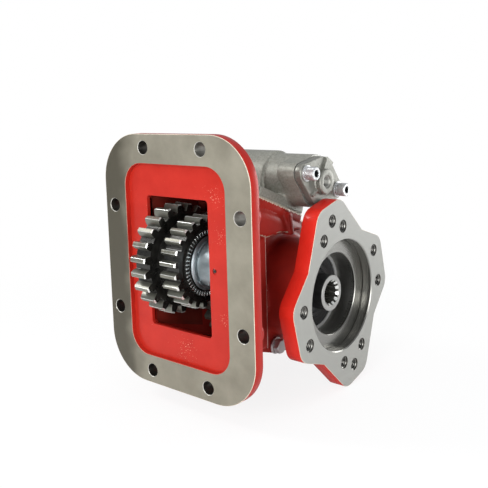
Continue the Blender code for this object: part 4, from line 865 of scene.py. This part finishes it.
# Idler shaft
# The fixed shaft that the input gears run on: ground and polished, pressed through both bosses,
# held from turning by a pin, with hardened washers and a wire circlip beside the gears.
INPUT = Matrix.Translation((0, INPUT_Y * MM, 0))
ground_steel = finish("ground_steel", (0.20, 0.235, 0.25), (0.50, 0.56, 0.58), 0.95, (0.34, 0.5),
                      scale=75, contrast=2.2)
shaft = lathe("idler_shaft", [(-47, 0), (-47, 19), (-46, 20), (18.9, 20), (18.9, 18.2),
                              (20.5, 18.2), (20.5, 20), (43.5, 20), (44.5, 19), (44.5, 0)], 128)
pin_hole = turned(rod("cutter", -30, -11.7, 1.5, 24), 90, "Z")
combined(shaft, "DIFFERENCE", shifted(pin_hole, 41, 0, 0))
placed(shaft, INPUT, "housing_body", ground_steel, "polished_steel", "idler_shaft")
for name, low, high, outer in (("thrust_washer_left", -35.3, -30.9, 25.0),
                               ("thrust_washer_right", 16.5, 18.5, 23.8)):
    washer = lathe(name + "_shown", [(low, 20.3), (low, outer - 0.4), (low + 0.4, outer),
                                     (high - 1.1, outer), (high, outer - 1.6), (high, 20.3)], 96)
    placed(washer, INPUT, "housing_body", ground_steel, "steel", name)
clip_profile = arc(21.7, 215, 505, 80) + arc(18.6, 505, 215, 80)
clip = bevelled(prism("idler_circlip_shown", clip_profile, 18.8, 20.3), 0.25, 2)
dark_steel = finish("dark_steel", (0.06, 0.06, 0.06), (0.16, 0.165, 0.17), 0.9, (0.25, 0.4))
placed(clip, INPUT, "housing_body", ground_steel, "dark_steel", "idler_circlip")

# Input gear cluster
# Two hobbed gears in one piece of steel, hardened and oiled. The tooth tips are left dull from the
# blank, the flanks are ground bright, the tooth ends chamfered, with painted glints on the
# chamfers. It turns on needle rollers.
GEAR_LOW, GEAR_HIGH = -30.6, -13.6
PINION_LOW, PINION_HIGH = -4.3, 13.6
COLLAR_HIGH = 16.2
CLUSTER_BORE = 24.0


def eased(points, reach, sharp=22.0):
    """Corners of an outline cut back into short curves."""
    result = []
    count = len(points)
    for i in range(count):
        before, here, after = (Vector(points[(i + k) % count]) for k in (-1, 0, 1))
        a, b = before - here, after - here
        bend = 180 - math.degrees(a.angle(b))
        if bend < sharp:
            result.append(tuple(here))
            continue
        da, db = (min(reach, 0.45 * v.length) for v in (a, b))
        start, end = here + a.normalized() * da, here + b.normalized() * db
        for t in (0, 0.33, 0.67, 1):
            point = start * (1 - t) ** 2 + here * 2 * t * (1 - t) + end * t ** 2
            result.append(tuple(point))
    return result


def gear_outline(teeth, module, phase, ease=0.35):
    """Involute stub teeth with round roots."""
    pitch = module * teeth / 2
    pressure = math.radians(20)
    base = pitch * math.cos(pressure)
    root, tip = pitch - module, pitch + 0.8 * module
    half = (math.pi * module / 2 - 0.3) / (2 * pitch)
    flank = []
    for share in (0.0, 0.22, 0.45, 0.7, 1.0):
        r = root + (tip - root) * share
        turn = math.acos(min(1.0, base / r))
        flank.append((r, half + math.tan(pressure) - pressure - math.tan(turn) + turn))
    points = []
    for k in range(teeth):
        middle = phase + 2 * math.pi * k / teeth
        points += [(r * math.cos(middle - a), r * math.sin(middle - a)) for r, a in flank]
        points += [(r * math.cos(middle + a), r * math.sin(middle + a)) for r, a in reversed(flank)]
    return eased(points, ease)


def toothed(name, outline, tip, low, high, chamfer):
    """Teeth along X, chamfered at both ends down to their roots."""
    body = prism(name, outline, low, high)
    slope = chamfer * 0.6
    ends = lathe("limit", [(low, 0), (low, tip - chamfer), (low + slope, tip + 0.5),
                           (high - slope, tip + 0.5), (high, tip - chamfer), (high, 0)], 180)
    return combined(body, "INTERSECT", ends)


BIG_TEETH, BIG_MODULE, BIG_PHASE = 23, 4.0, math.radians(109.5)
BIG_TIP, PINION_TIP = 49.2, 40.64
big = toothed("input_gears", gear_outline(BIG_TEETH, BIG_MODULE, BIG_PHASE), BIG_TIP, GEAR_LOW,
              GEAR_HIGH, 1.3)
pinion = toothed("pinion", gear_outline(24, 3.175, math.radians(98.2)), PINION_TIP, PINION_LOW,
                 PINION_HIGH, 1.6)
middle = rod("hub", -15, -3, 33.5, 128)
collar = lathe("hub", [(12, 0), (12, 29.4), (COLLAR_HIGH - 0.9, 29.4), (COLLAR_HIGH - 0.9, 25.2),
                       (COLLAR_HIGH - 0.2, 25.2), (COLLAR_HIGH, 25.0), (COLLAR_HIGH, 0)], 128)
cluster = combined(big, "UNION", pinion, middle, collar)
bore = lathe("cutter", [(-32, 0), (-32, 25), (GEAR_LOW, 25), (GEAR_LOW + 1, CLUSTER_BORE),
                        (COLLAR_HIGH - 0.8, CLUSTER_BORE), (COLLAR_HIGH, CLUSTER_BORE + 0.8),
                        (COLLAR_HIGH + 1, CLUSTER_BORE + 0.8), (COLLAR_HIGH + 1, 0)], 128)
combined(cluster, "DIFFERENCE", bore)
bevelled(cluster, 0.3, 1, 38)
framed(cluster, INPUT)
tip_steel = finish("tooth_tips", (0.125, 0.122, 0.098), (0.27, 0.265, 0.222), 0.75, (0.3, 0.46),
                   scale=260, bump=0.4, bump_scale=1500)
flank_steel = finish("tooth_flanks", (0.14, 0.14, 0.118), (0.26, 0.26, 0.225), 0.8, (0.28, 0.42),
                     scale=300, stretch=(0.08, 1, 1), bump=0.15)
oily_steel = finish("oily_steel", (0.012, 0.012, 0.011), (0.045, 0.043, 0.038), 0.8, (0.2, 0.4),
                    scale=140, coat=0.4)
# Ground chamfers; their near-white colour is partly a painted glint.
chamfer_steel_and_glint = finish("tooth_edges_and_glints", (0.62, 0.63, 0.60), (0.82, 0.83, 0.80), 0.6, (0.2, 0.3))


def gear_finish(tips):
    """Dull tooth tips, bright flanks, bright chamfers with painted glints, oily black everywhere
    else.
    """
    def choose(centre, normal):
        y, z = centre.y - INPUT_Y, centre.z
        reach = math.hypot(y, z)
        outward = (normal.y * y + normal.z * z) / max(reach, 0.01)
        for low, high, root, tip in tips:
            if low - 0.1 < centre.x < high + 0.1 and reach > root + 0.3:
                if abs(normal.x) > 0.2:
                    return chamfer_steel_and_glint if abs(normal.x) < 0.95 else oily_steel
                if reach > tip - 0.6:
                    return tip_steel if outward > 0.985 else chamfer_steel_and_glint
                return flank_steel
        return oily_steel
    return choose


shown(cluster, "input_cluster", [tip_steel, flank_steel, oily_steel, chamfer_steel_and_glint],
      gear_finish([(GEAR_LOW, GEAR_HIGH, 42.0, BIG_TIP),
                   (PINION_LOW, PINION_HIGH, 34.93, PINION_TIP)]),
      smooth=14, stands_for=["input_gear"])


def around(radius, count, facing_out=False):
    """Places evenly round the X axis, turned outwards if that is asked for."""
    turns = [2 * math.pi * k / count for k in range(count)]
    return [(0, radius * math.cos(a), radius * math.sin(a)) + ((a, 0, 0) if facing_out else ())
            for a in turns]


# Fine notches round the end of the collar.
notch = bevelled(prism("notch", [(-1.9, -0.6), (1.9, -0.75), (1.9, 0.75), (-1.9, 0.6)],
                       COLLAR_HIGH - 1.2, COLLAR_HIGH - 0.1), 0.25, 1)
notch_steel = finish("notch_steel", (0.42, 0.43, 0.42), (0.70, 0.71, 0.69), 0.95, (0.2, 0.3),
                     scale=400)
notches = repeated("collar_notches", notch, around(26.9, 52, True), notch_steel)
placed(notches, INPUT, "input_cluster", notch_steel, "gear_steel")

# Needle rollers
# Rows of ground rollers between cage rings pressed from steel strip: one row under each gear of
# the cluster and one under the driven gear. They ride with the gear that they carry.
roller_steel = finish("roller_steel", (0.3, 0.31, 0.31), (0.5, 0.52, 0.52), 1.0, (0.12, 0.2))
cage_steel = finish("cage_steel", (0.05, 0.05, 0.047), (0.12, 0.118, 0.11), 0.8, (0.35, 0.5))


def tube(name, low, high, inner, outer, steps):
    """A plain ring round the X axis."""
    return lathe(name, [(low, inner), (low, outer), (high, outer), (high, inner)], steps)


for name, body, low, frame_matrix in (("needle_cage_left", "input_cluster", -28.6, INPUT),
                                      ("needle_cage_right", "input_cluster", -1.8, INPUT),
                                      ("needle_cage_driven", "driven_wheel", -30.1, OUTPUT)):
    roller = lathe("roller", [(low + 1, 0), (low + 1, 1.4), (low + 1.3, 1.7), (low + 14.7, 1.7),
                              (low + 15, 1.4), (low + 15, 0)], 14)
    row = repeated(name + "_rollers", roller, around(22, 32), roller_steel)
    placed(row, frame_matrix, body, roller_steel, "polished_steel", name)
    rings = [tube("ring", a, a + 0.9, 20.5, 23.5, 64) for a in (low, low + 15.1)]
    placed(gathered(name + "_rings", rings), frame_matrix, body, cage_steel, "steel", name)

# Driven gear and dog ring
# The driven gear is always in mesh and runs free on the output shaft. Eight square dogs on its
# side take hold of the dog ring, which slides on the splines of the shaft. Forged, hobbed, hard.
DRIVEN_TEETH, DRIVEN_TIP = 30, 63.2
STEP_ANGLE = 2 * math.pi / BIG_TEETH
facing = -AXES_FALL
turns = round((facing - BIG_PHASE) / STEP_ANGLE)
offset = BIG_PHASE + turns * STEP_ANGLE - facing
DRIVEN_PHASE = (facing + math.pi - offset * BIG_TEETH / DRIVEN_TEETH
                + math.pi / DRIVEN_TEETH)
RING_LOW = 0.0


def sector(inner, outer, start, end, steps=6):
    """Part of a ring, with the angles in degrees."""
    return arc(inner, start, end, steps) + arc(outer, end, start, steps)


def dogs(low, high, turn):
    """Eight square teeth on the side of a ring."""
    return [bevelled(prism("dog", sector(33.0, 45.0, turn + 45 * k - 8.5, turn + 45 * k + 8.5, 4),
                           low, high), 0.5, 2) for k in range(8)]


driven = toothed("driven_gear_shown", gear_outline(DRIVEN_TEETH, BIG_MODULE, DRIVEN_PHASE),
                 DRIVEN_TIP, GEAR_LOW, GEAR_HIGH, 1.3)
side = tube("cutter", GEAR_HIGH - 1.2, GEAR_HIGH + 1, 46.5, 54, 128)
driven_bore = rod("cutter", -32, -12, 24, 96)
combined(driven, "UNION", gathered("dogs", dogs(GEAR_HIGH - 1, GEAR_HIGH + 6.6, 0)))
combined(driven, "DIFFERENCE", side, driven_bore)
bevelled(driven, 0.2, 1, 38)
framed(driven, OUTPUT)


def driven_finish(centre, normal):
    """Bright teeth with dull tips and chamfers with painted glints, oily black everywhere else."""
    y, z = centre.y - OUT_Y, centre.z - OUT_Z
    reach = math.hypot(y, z)
    if centre.x < GEAR_HIGH + 0.1 and reach > 56.3:
        outward = (normal.y * y + normal.z * z) / reach
        if outward > 0.9 and reach > DRIVEN_TIP - 0.3:
            return tip_steel
        if abs(normal.x) < 0.2:
            return flank_steel
        return chamfer_steel_and_glint if abs(normal.x) < 0.95 else oily_steel
    return oily_steel


shown(driven, "driven_wheel", [tip_steel, flank_steel, oily_steel, chamfer_steel_and_glint], driven_finish,
      smooth=28, stands_for=["driven_gear"])


def spline_outline(teeth, low, high, width, spare=0.0, taper=0.8):
    """Straight teeth between two radii."""
    points = []
    for k in range(teeth):
        middle = 2 * math.pi * k / teeth
        foot = (width / 2 + spare) / (low + spare)
        crown = (width * taper / 2 + spare) / (high + spare)
        for r, turn in ((low, -foot), (high, -crown), (high, crown), (low, foot)):
            points.append(((r + spare) * math.cos(middle + turn),
                           (r + spare) * math.sin(middle + turn)))
    return points


ring = lathe("dog_ring_shown", [(RING_LOW, 0), (RING_LOW, 44.5), (RING_LOW + 0.5, 45), (2, 45),
                                (3.5, 42), (3.5, 34), (9.5, 34), (9.5, 42), (12.5, 42), (13, 41.5),
                                (13, 0)], 128)
combined(ring, "UNION", gathered("dogs", dogs(RING_LOW - 6.2, RING_LOW + 1, 22.5)))
combined(ring, "DIFFERENCE", prism("cutter", spline_outline(12, 21, 24, 6, 0.3), -1, 14))
machined_steel = turned_finish("machined_steel", (0.14, 0.135, 0.125), (0.26, 0.25, 0.235),
                               (0.28, 0.4), 600, 0.25)
placed(bevelled(ring, 0.25, 1, 38), OUTPUT, "dog_ring", machined_steel, "steel", "clutch_ring")

# Output shaft
# Forged steel, turned and splined, and carried by two ball bearings. Its right end is a ground
# hub that the oil seal runs on, with a splined socket for the pump. A circlip closes the bore.
HUB_END = 77.2
hub_steel = turned_finish("hub_steel", (0.30, 0.30, 0.285), (0.42, 0.42, 0.40), (0.3, 0.42), 900,
                          0.15, 0.5)
journal = lathe("output_shaft_shown", [(-56.5, 0), (-56.5, 14), (-55.5, 15), (-41, 15), (-41, 20),
                                       (-36.4, 20), (-36.4, 27), (-30.9, 27), (-30.9, 20), (-7, 20),
                                       (-7, 20.5), (17.5, 20.5), (17.5, 27), (32, 27), (32, 20),
                                       (60.9, 20), (62.9, 16.6), (HUB_END - 0.4, 16.6),
                                       (HUB_END, 16.2), (HUB_END, 0)], 128)
ribs = prism("ribs", spline_outline(12, 20, 24, 6), -8, 18)
mouth = lathe("cutter", [(HUB_END - 2.4, 0), (HUB_END - 2.4, 10.1), (HUB_END + 0.6, 12.9),
                         (HUB_END + 0.6, 0)], 64)
socket_outline = eased(spline_outline(13, 10.2, 12.0, math.pi * 10.2 / 13), 0.3)
socket = prism("cutter", socket_outline, HUB_END - 32, HUB_END + 1)
combined(journal, "UNION", ribs)
combined(journal, "DIFFERENCE", socket, mouth)
bevelled(journal, 0.15, 1, 38)
framed(journal, OUTPUT)


def shaft_finish(centre, normal):
    """A bright socket with a chamfered mouth of bright steel and painted glint, a dark ring under
    the seal, turned steel elsewhere.
    """
    reach = math.hypot(centre.y - OUT_Y, centre.z - OUT_Z)
    if centre.x > 45 and reach < 12.6:
        return socket_steel if centre.x < HUB_END - 2.6 or reach > 11.9 else chamfer_steel_and_glint
    return dark_steel if 60 < centre.x < HUB_END - 0.5 else hub_steel


socket_steel = finish("socket_steel", (0.16, 0.16, 0.14), (0.42, 0.42, 0.38), 0.9, (0.2, 0.34),
                      scale=300, stretch=(0.1, 1, 1))
shown(journal, "output_line", [hub_steel, socket_steel, chamfer_steel_and_glint, dark_steel], shaft_finish,
      smooth=30, stands_for=["output_shaft"])
spacer = lathe("driven_thrust_washer_shown", [(-13.3, 20.3), (-13.3, 30.6), (-12.9, 31), (-8.7, 31),
                                              (-8.3, 30.6), (-8.3, 20.3)], 96)
placed(spacer, OUTPUT, "output_line", machined_steel, "steel", "driven_thrust_washer")

race_steel = turned_finish("race_steel", (0.34, 0.35, 0.35), (0.46, 0.47, 0.47), (0.12, 0.2), 1200,
                           0.15)
for side_name, low, width, inner, outer, ball in (("left_bearing", -57.2, 15.9, 15.3, 31.0, 4.4),
                                                  ("right_bearing", 32.3, 17.0, 20.3, 37.2, 4.8)):
    centre_radius = (inner + outer) / 2
    x = low + width / 2
    for ring_name, edge, shoulder, body in (
            ("_inner_ring", inner, centre_radius - 0.45 * ball, "output_line"),
            ("_outer_ring", outer, centre_radius + 0.45 * ball, "housing_body")):
        away_side = 1 if edge < shoulder else -1
        groove = [(x + ball * 1.02 * math.cos(a),
                   centre_radius - away_side * ball * 1.02 * math.sin(a))
                  for a in (math.radians(150 - 12 * k) for k in range(11))]
        profile = [(low, edge), (low, shoulder), *groove, (low + width, shoulder),
                   (low + width, edge)]
        race = bevelled(lathe(side_name + ring_name + "_shown", profile, 96), 0.4, 2, 50)
        placed(race, OUTPUT, body, race_steel, "polished_steel", side_name + ring_name)
    profile = [(x + ball * 0.97 * math.cos(a), ball * 0.97 * math.sin(a))
               for a in (math.radians(180 - 15 * k) for k in range(13))]
    profile[0], profile[-1] = (x - ball * 0.97, 0), (x + ball * 0.97, 0)
    count = int(2 * math.pi * centre_radius / (2.6 * ball))
    balls = repeated(side_name + "_balls_shown", lathe("ball", profile, 20),
                     around(centre_radius, count), roller_steel)
    placed(balls, OUTPUT, "output_line", roller_steel, "polished_steel", side_name + "_balls")

rubber = finish("black_rubber", (0.008, 0.008, 0.008), (0.02, 0.019, 0.018), 0.0, (0.35, 0.55),
                scale=200)
lip = lathe("oil_seal_shown", [(49.9, 22), (55.4, 20.25), (56.4, 20.9), (58.2, 21.6), (58.6, 23),
                               (58.6, 25.6), (56.9, 27.4), (56.9, 33.4), (57.6, 34.6), (58.4, 35.2),
                               (58.6, 36.2), (58.2, 37.2), (49.9, 37.2)], 128)
shown(framed(lip, OUTPUT), "housing_body", [rubber], smooth=40,
      stands_for=["oil_seal"])
snap = prism("seal_circlip_shown", sector(34.4, 38.9, -168, 168, 120), 58.9, 60.4)
lugs = []
for turn in (-162, 162):
    y, z = math.cos(math.radians(turn)), math.sin(math.radians(turn))
    lug = prism("lug", circle(3.2, 32, 32.5 * y, 32.5 * z), 58.9, 60.4)
    hole = prism("cutter", circle(1.2, 20, 32.3 * y, 32.3 * z), 58, 61)
    lugs.append(combined(lug, "DIFFERENCE", hole))
combined(snap, "UNION", *lugs)
clip_steel = finish("clip_steel", (0.34, 0.34, 0.33), (0.46, 0.46, 0.45), 0.4, (0.35, 0.45))
placed(bevelled(snap, 0.3, 2, 50), OUTPUT, "housing_body", clip_steel, "polished_steel",
       "seal_circlip")

# Rear cover
# A pressed steel cap over the left bearing, painted with the case. Four hexagon bolts, put in
# from the left, hold it.
cap = lathe("rear_cover_shown", [(-58.3, 24), (-58.3, 41.4), (-58.9, 42), (-62.7, 42),
                                 (-63.3, 41.4), (-63.3, 30.8), (-64, 29.4), (-65.7, 27.6),
                                 (-66.3, 25), (-66.3, 0), (-61.8, 0), (-61.8, 24)], 128)
placed(cap, OUTPUT, "housing_body", red_paint, "red_paint", "rear_cover")


def hex_head(name, low, high, flats, shank, shank_low):
    """A hexagon head with rounded corners on a shank, along X."""
    head = prism(name, circle(flats / math.sqrt(3), 6), low, high)
    limit = lathe("limit", [(low, 0), (low, flats * 0.6), (high - 1.0, flats * 0.6),
                            (high, flats * 0.5), (high, 0)], 48)
    combined(head, "INTERSECT", limit)
    combined(head, "UNION", rod("shank", shank_low, low + 0.5, shank, 24))
    return bevelled(head, 0.15, 1, 25)


bolt_steel = finish("bolt_steel", (0.05, 0.05, 0.05), (0.11, 0.11, 0.115), 0.9, (0.3, 0.45),
                    scale=160)
cover_bolts = [(0, 36.6 * math.cos(math.radians(a)), 36.6 * math.sin(math.radians(a)))
               for a in (45, 135, 225, 315)]
head = turned(hex_head("bolt", 63.6, 67.5, 9.0, 3.0, 49.3), 180, "Z")
bolts = repeated("rear_cover_bolts", head, cover_bolts, bolt_steel, 0.6, 4)
placed(bolts, OUTPUT, "housing_body", bolt_steel, "dark_steel",
       *["rear_cover_bolt_%d" % k for k in (1, 2, 3, 4)])

# Drain plug
# A zinc plated hexagon plug on a plated sealing washer, screwed into the right side of the drum
# below the shaft.
zinc = finish("zinc_plated", (0.50, 0.51, 0.51), (0.68, 0.69, 0.69), 0.75, (0.24, 0.36), scale=150)
plug = hex_head("drain_plug_shown", 27.6, 33.5, 12.0, 5.0, 19.6)
placed(shifted(plug, 0, *DRAIN), OUTPUT, "housing_body", zinc, "zinc_plated", "drain_plug")
seat = lathe("drain_washer_shown", [(25.3, 5.3), (25.3, 7.7), (25.7, 8.1), (26.9, 8.1), (27.3, 7.7),
                                    (27.3, 5.3)], 48)
placed(shifted(seat, 0, *DRAIN), OUTPUT, "housing_body", zinc, "zinc_plated", "drain_washer")

# Shift cylinder
# An aluminium casting on a flat foot, bolted to the inclined pad. Its corners are cast soft, its
# skin is sandy, and the foot's edge and the joint face are machined.
CYLINDER_S, CYLINDER_N = 85.9, 102.5
SHIFT = (Matrix.Rotation(-TILT, 4, "X")
         @ Matrix.Translation((0, CYLINDER_S * MM, CYLINDER_N * MM)))
FOOT_LOW = 74.9 - CYLINDER_N
FOOT_FRONT, FOOT_END = 34 - CYLINDER_S, PAD_BACK - CYLINDER_S
FOOT_BOLTS = ((-30.0, 44.0), (24.0, 44.0), (-54.0, 62.0), (-54.0, 94.0))
EARS = 26.6


def ear_outline(middle_radius, ear_radius, steps=96):
    """A round middle with an ear on each side."""
    return hull(circle(middle_radius, steps) + circle(ear_radius, 48, EARS)
                + circle(ear_radius, 48, -EARS))


web = hull(circle(26.6, 96) + [(60 - CYLINDER_S, FOOT_LOW), (FOOT_END, FOOT_LOW)])
skin = prism("shift_cylinder_shown", web, -44, 24.5)
skin_end = lathe("part", [(-44, 0), (-44, 22), (-41, 26), (-38, 26.6), (-30, 26.6), (-30, 0)], 96)
barrel = rod("part", 16, 66, 24.1, 96)
ear_flange = prism("part", ear_outline(23.2, 9.3), 47, 67.5)
foot = prism("part", oblong(FOOT_FRONT, FOOT_END, FOOT_LOW - 1, FOOT_LOW + 8.1), -62, 46)
skin = gathered("shift_cylinder_shown", [skin, skin_end, barrel, ear_flange, foot])
softened(skin, 1.05, 2)
joint_face = prism("cutter", oblong(-60, 60, -60, 60), 65.5, 75)
under = prism("cutter", oblong(-90, 60, -60, FOOT_LOW), -90, 90)
piston_bore = rod("cutter", 20, 70, 16, 96)
fork_room = rod("cutter", -10, 14, 17, 64)
rod_bore = rod("cutter", -32.5, 22, 6.3, 48)
slot = prism("cutter", oblong(77 - CYLINDER_S, 95 - CYLINDER_S, -60, 0), -10, 14)
screw_holes = [shifted(rod("cutter", 52, 70, 4, 32), 0, s * EARS) for s in (-1, 1)]
bolt_holes = [prism("cutter", circle(4, 32, x, s - CYLINDER_S), FOOT_LOW - 2, FOOT_LOW + 12, "Z")
              for x, s in FOOT_BOLTS]
combined(skin, "DIFFERENCE", joint_face, under, piston_bore, fork_room, rod_bore, slot,
         gathered("cutter", screw_holes), gathered("cutter", bolt_holes))
framed(skin, SHIFT)
cast_alloy = finish("cast_alloy", (0.18, 0.18, 0.15), (0.40, 0.40, 0.352), 0.4, (0.38, 0.58),
                    scale=480, contrast=1.7, bump=1.3, bump_scale=520)
cut_alloy = finish("cut_alloy", (0.33, 0.33, 0.30), (0.46, 0.46, 0.43), 0.7, (0.35, 0.45),
                   scale=120)


def cylinder_finish(centre, normal):
    """Cast skin with machined faces under the foot and at the joint."""
    local = SHIFT.inverted() @ (centre * MM)
    machined = local.z / MM + CYLINDER_N < 75.0 or local.x / MM > 65.4
    return cut_alloy if machined else cast_alloy


shown(skin, "housing_body", [cast_alloy, cut_alloy], cylinder_finish, smooth=55,
      stands_for=["shift_cylinder"])

# End cover
# A diecast plate over the end of the cylinder, with a round boss that is tapped for the air line
# and two ribs. Two plated cap screws hold it, each on a flat and a spring washer.
COVER_LOW, COVER_HIGH = 65.8, 72.6
cover = prism("end_cover_shown", ear_outline(22.5, 9.0), COVER_LOW, COVER_HIGH)
bevelled(cover, 0.9, 3, 50)
boss = lathe("boss", [(69, 0), (69, 12.3), (COVER_HIGH, 12.3), (COVER_HIGH + 0.8, 11.5),
                      (77.2, 11.5), (78, 10.7), (78, 0)], 96)
tongue = prism("rib", [(-5.2, 8), (5.2, 8), (6.5, 21.4), (-4.4, 22.2)], 69, 74.6)
lower_rib = prism("rib", [(-1.6, 8), (1.6, 8), (1.3, 20.5), (-1.3, 20.5)], 69, 74.2)
combined(cover, "UNION", boss, turned(tongue, -6, "X"), turned(lower_rib, 145, "X"))
port = lathe("cutter", [(65, 0), (65, 2.5), (70, 2.5), (70, 5.5), (77.3, 5.5), (79, 7.2), (79, 0)],
             48)
ear_holes = [shifted(rod("cutter", 64, 76, 4, 32), 0, s * EARS) for s in (-1, 1)]
combined(cover, "DIFFERENCE", port, gathered("cutter", ear_holes))
bevelled(cover, 0.25, 2, 45)
die_cast = finish("die_cast", (0.165, 0.165, 0.142), (0.29, 0.29, 0.26), 0.6, (0.3, 0.48), scale=80,
                  contrast=1.7, bump=0.35, bump_scale=500)
placed(cover, SHIFT, "housing_body", die_cast, "cast_alloy", "end_cover")
port_ring = lathe("port_ring", [(0, 5.6), (0, 5.5), (0.45, 4.9), (0.9, 5.5), (0.9, 5.6)], 40)
port_threads = repeated("port_threads", port_ring, [(70.6 + 1.1 * k, 0, 0) for k in range(6)],
                        cut_alloy)
placed(port_threads, SHIFT, "housing_body", cut_alloy, "cast_alloy")


def cap_screw(name, seat, top, shank_low):
    """A cap screw along X with a knurled head and a hexagon socket in it."""
    ridges = [(6.0 - 0.22 * (k % 2), math.pi * k / 36) for k in range(72)]
    screw = prism(name, [(r * math.cos(a), r * math.sin(a)) for r, a in ridges], seat, top)
    limit = lathe("limit", [(seat, 0), (seat, 5.7), (seat + 0.4, 6.1), (top - 0.8, 6.1), (top, 5.3),
                            (top, 0)], 72)
    combined(screw, "INTERSECT", limit)
    combined(screw, "UNION", rod("shank", shank_low, seat + 0.5, 3.7, 24))
    hexagon = prism("cutter", circle(3.4, 6), top - 4.5, top + 1)
    cone = lathe("cutter", [(top - 0.5, 0), (top - 0.5, 3.1), (top + 1, 4.6), (top + 1, 0)], 32)
    return bevelled(combined(screw, "DIFFERENCE", hexagon, cone), 0.12, 2, 40)


ear_places = [(0, -EARS, 0), (0, EARS, 0)]
screws = repeated("cover_screws", cap_screw("screw", 75.6, 83.2, 53), ear_places, zinc, 0.5, 3)
framed(screws, SHIFT)
screw_axes = [SHIFT @ Vector((0, y * MM, 0)) / MM for y in (-EARS, EARS)]


def screw_finish(centre, normal):
    """Zinc outside, painted shade in the sockets."""
    away = min(math.hypot(centre.y - p.y, centre.z - p.z) for p in screw_axes)
    return dark_steel if away < 3.2 and centre.x < 83.1 else zinc


shown(screws, "housing_body", [zinc, dark_steel], screw_finish,
      stands_for=["cover_screw_1", "cover_screw_2"])
for name, low, high, outer in (("flat_washer", 72.7, 73.8, 7.2), ("lock_washer", 73.9, 75.4, 6.2)):
    ring = bevelled(tube("washer", low, high, 4, outer, 48), 0.2, 2)
    washers = repeated(name + "s", ring, ear_places, zinc)
    placed(washers, SHIFT, "housing_body", zinc, "zinc_plated", name + "_1", name + "_2")

# Foot bolts and gasket
# Four black cap screws hold the cylinder's foot to the inclined pad. The paper gasket under it
# gets its finish in the next section.
foot_screw = turned(cap_screw("screw", 83.3, 90.8, 67.4), -90, "Y")
foot_places = [(x, s - CYLINDER_S, -CYLINDER_N) for x, s in FOOT_BOLTS]
foot_screws = repeated("foot_screws", foot_screw, foot_places, bolt_steel)
placed(foot_screws, SHIFT, "housing_body", bolt_steel, "dark_steel",
       *["foot_bolt_%d" % k for k in (1, 2, 3, 4)])

# Pieces inside the cylinder
# The parts of the model that only show when the unit is taken apart keep their own shape and get
# the finish of the real piece: ground rod, turned piston, cast fork, spring wire, rubber, paper.
cast_iron = finish("cast_iron", (0.06, 0.058, 0.055), (0.13, 0.128, 0.12), 0.7, (0.45, 0.6),
                   scale=90, bump=0.5)
paper = finish("gasket_paper", (0.35, 0.33, 0.26), (0.5, 0.47, 0.38), 0.0, (0.7, 0.85), scale=300)
for node, node_finish in (("shift_rod", roller_steel), ("piston", cut_alloy), ("piston_nut", zinc),
                          ("piston_seal", rubber), ("shift_fork", cast_iron),
                          ("fork_pin", roller_steel), ("foot_gasket", paper),
                          ("shaft_pin", oily_steel)):
    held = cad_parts[node]
    held.data.materials.clear()
    held.data.materials.append(node_finish)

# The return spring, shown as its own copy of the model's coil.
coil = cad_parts["return_spring"]
wire = bmesh.new()
wire.from_mesh(coil.data)
wire.transform(Matrix.Scale(1 / MM, 4) @ coil.matrix_world)
spring = as_object("return_spring_shown", wire)
shown(spring, "housing_body", [roller_steel], stands_for=["return_spring"])
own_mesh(spring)
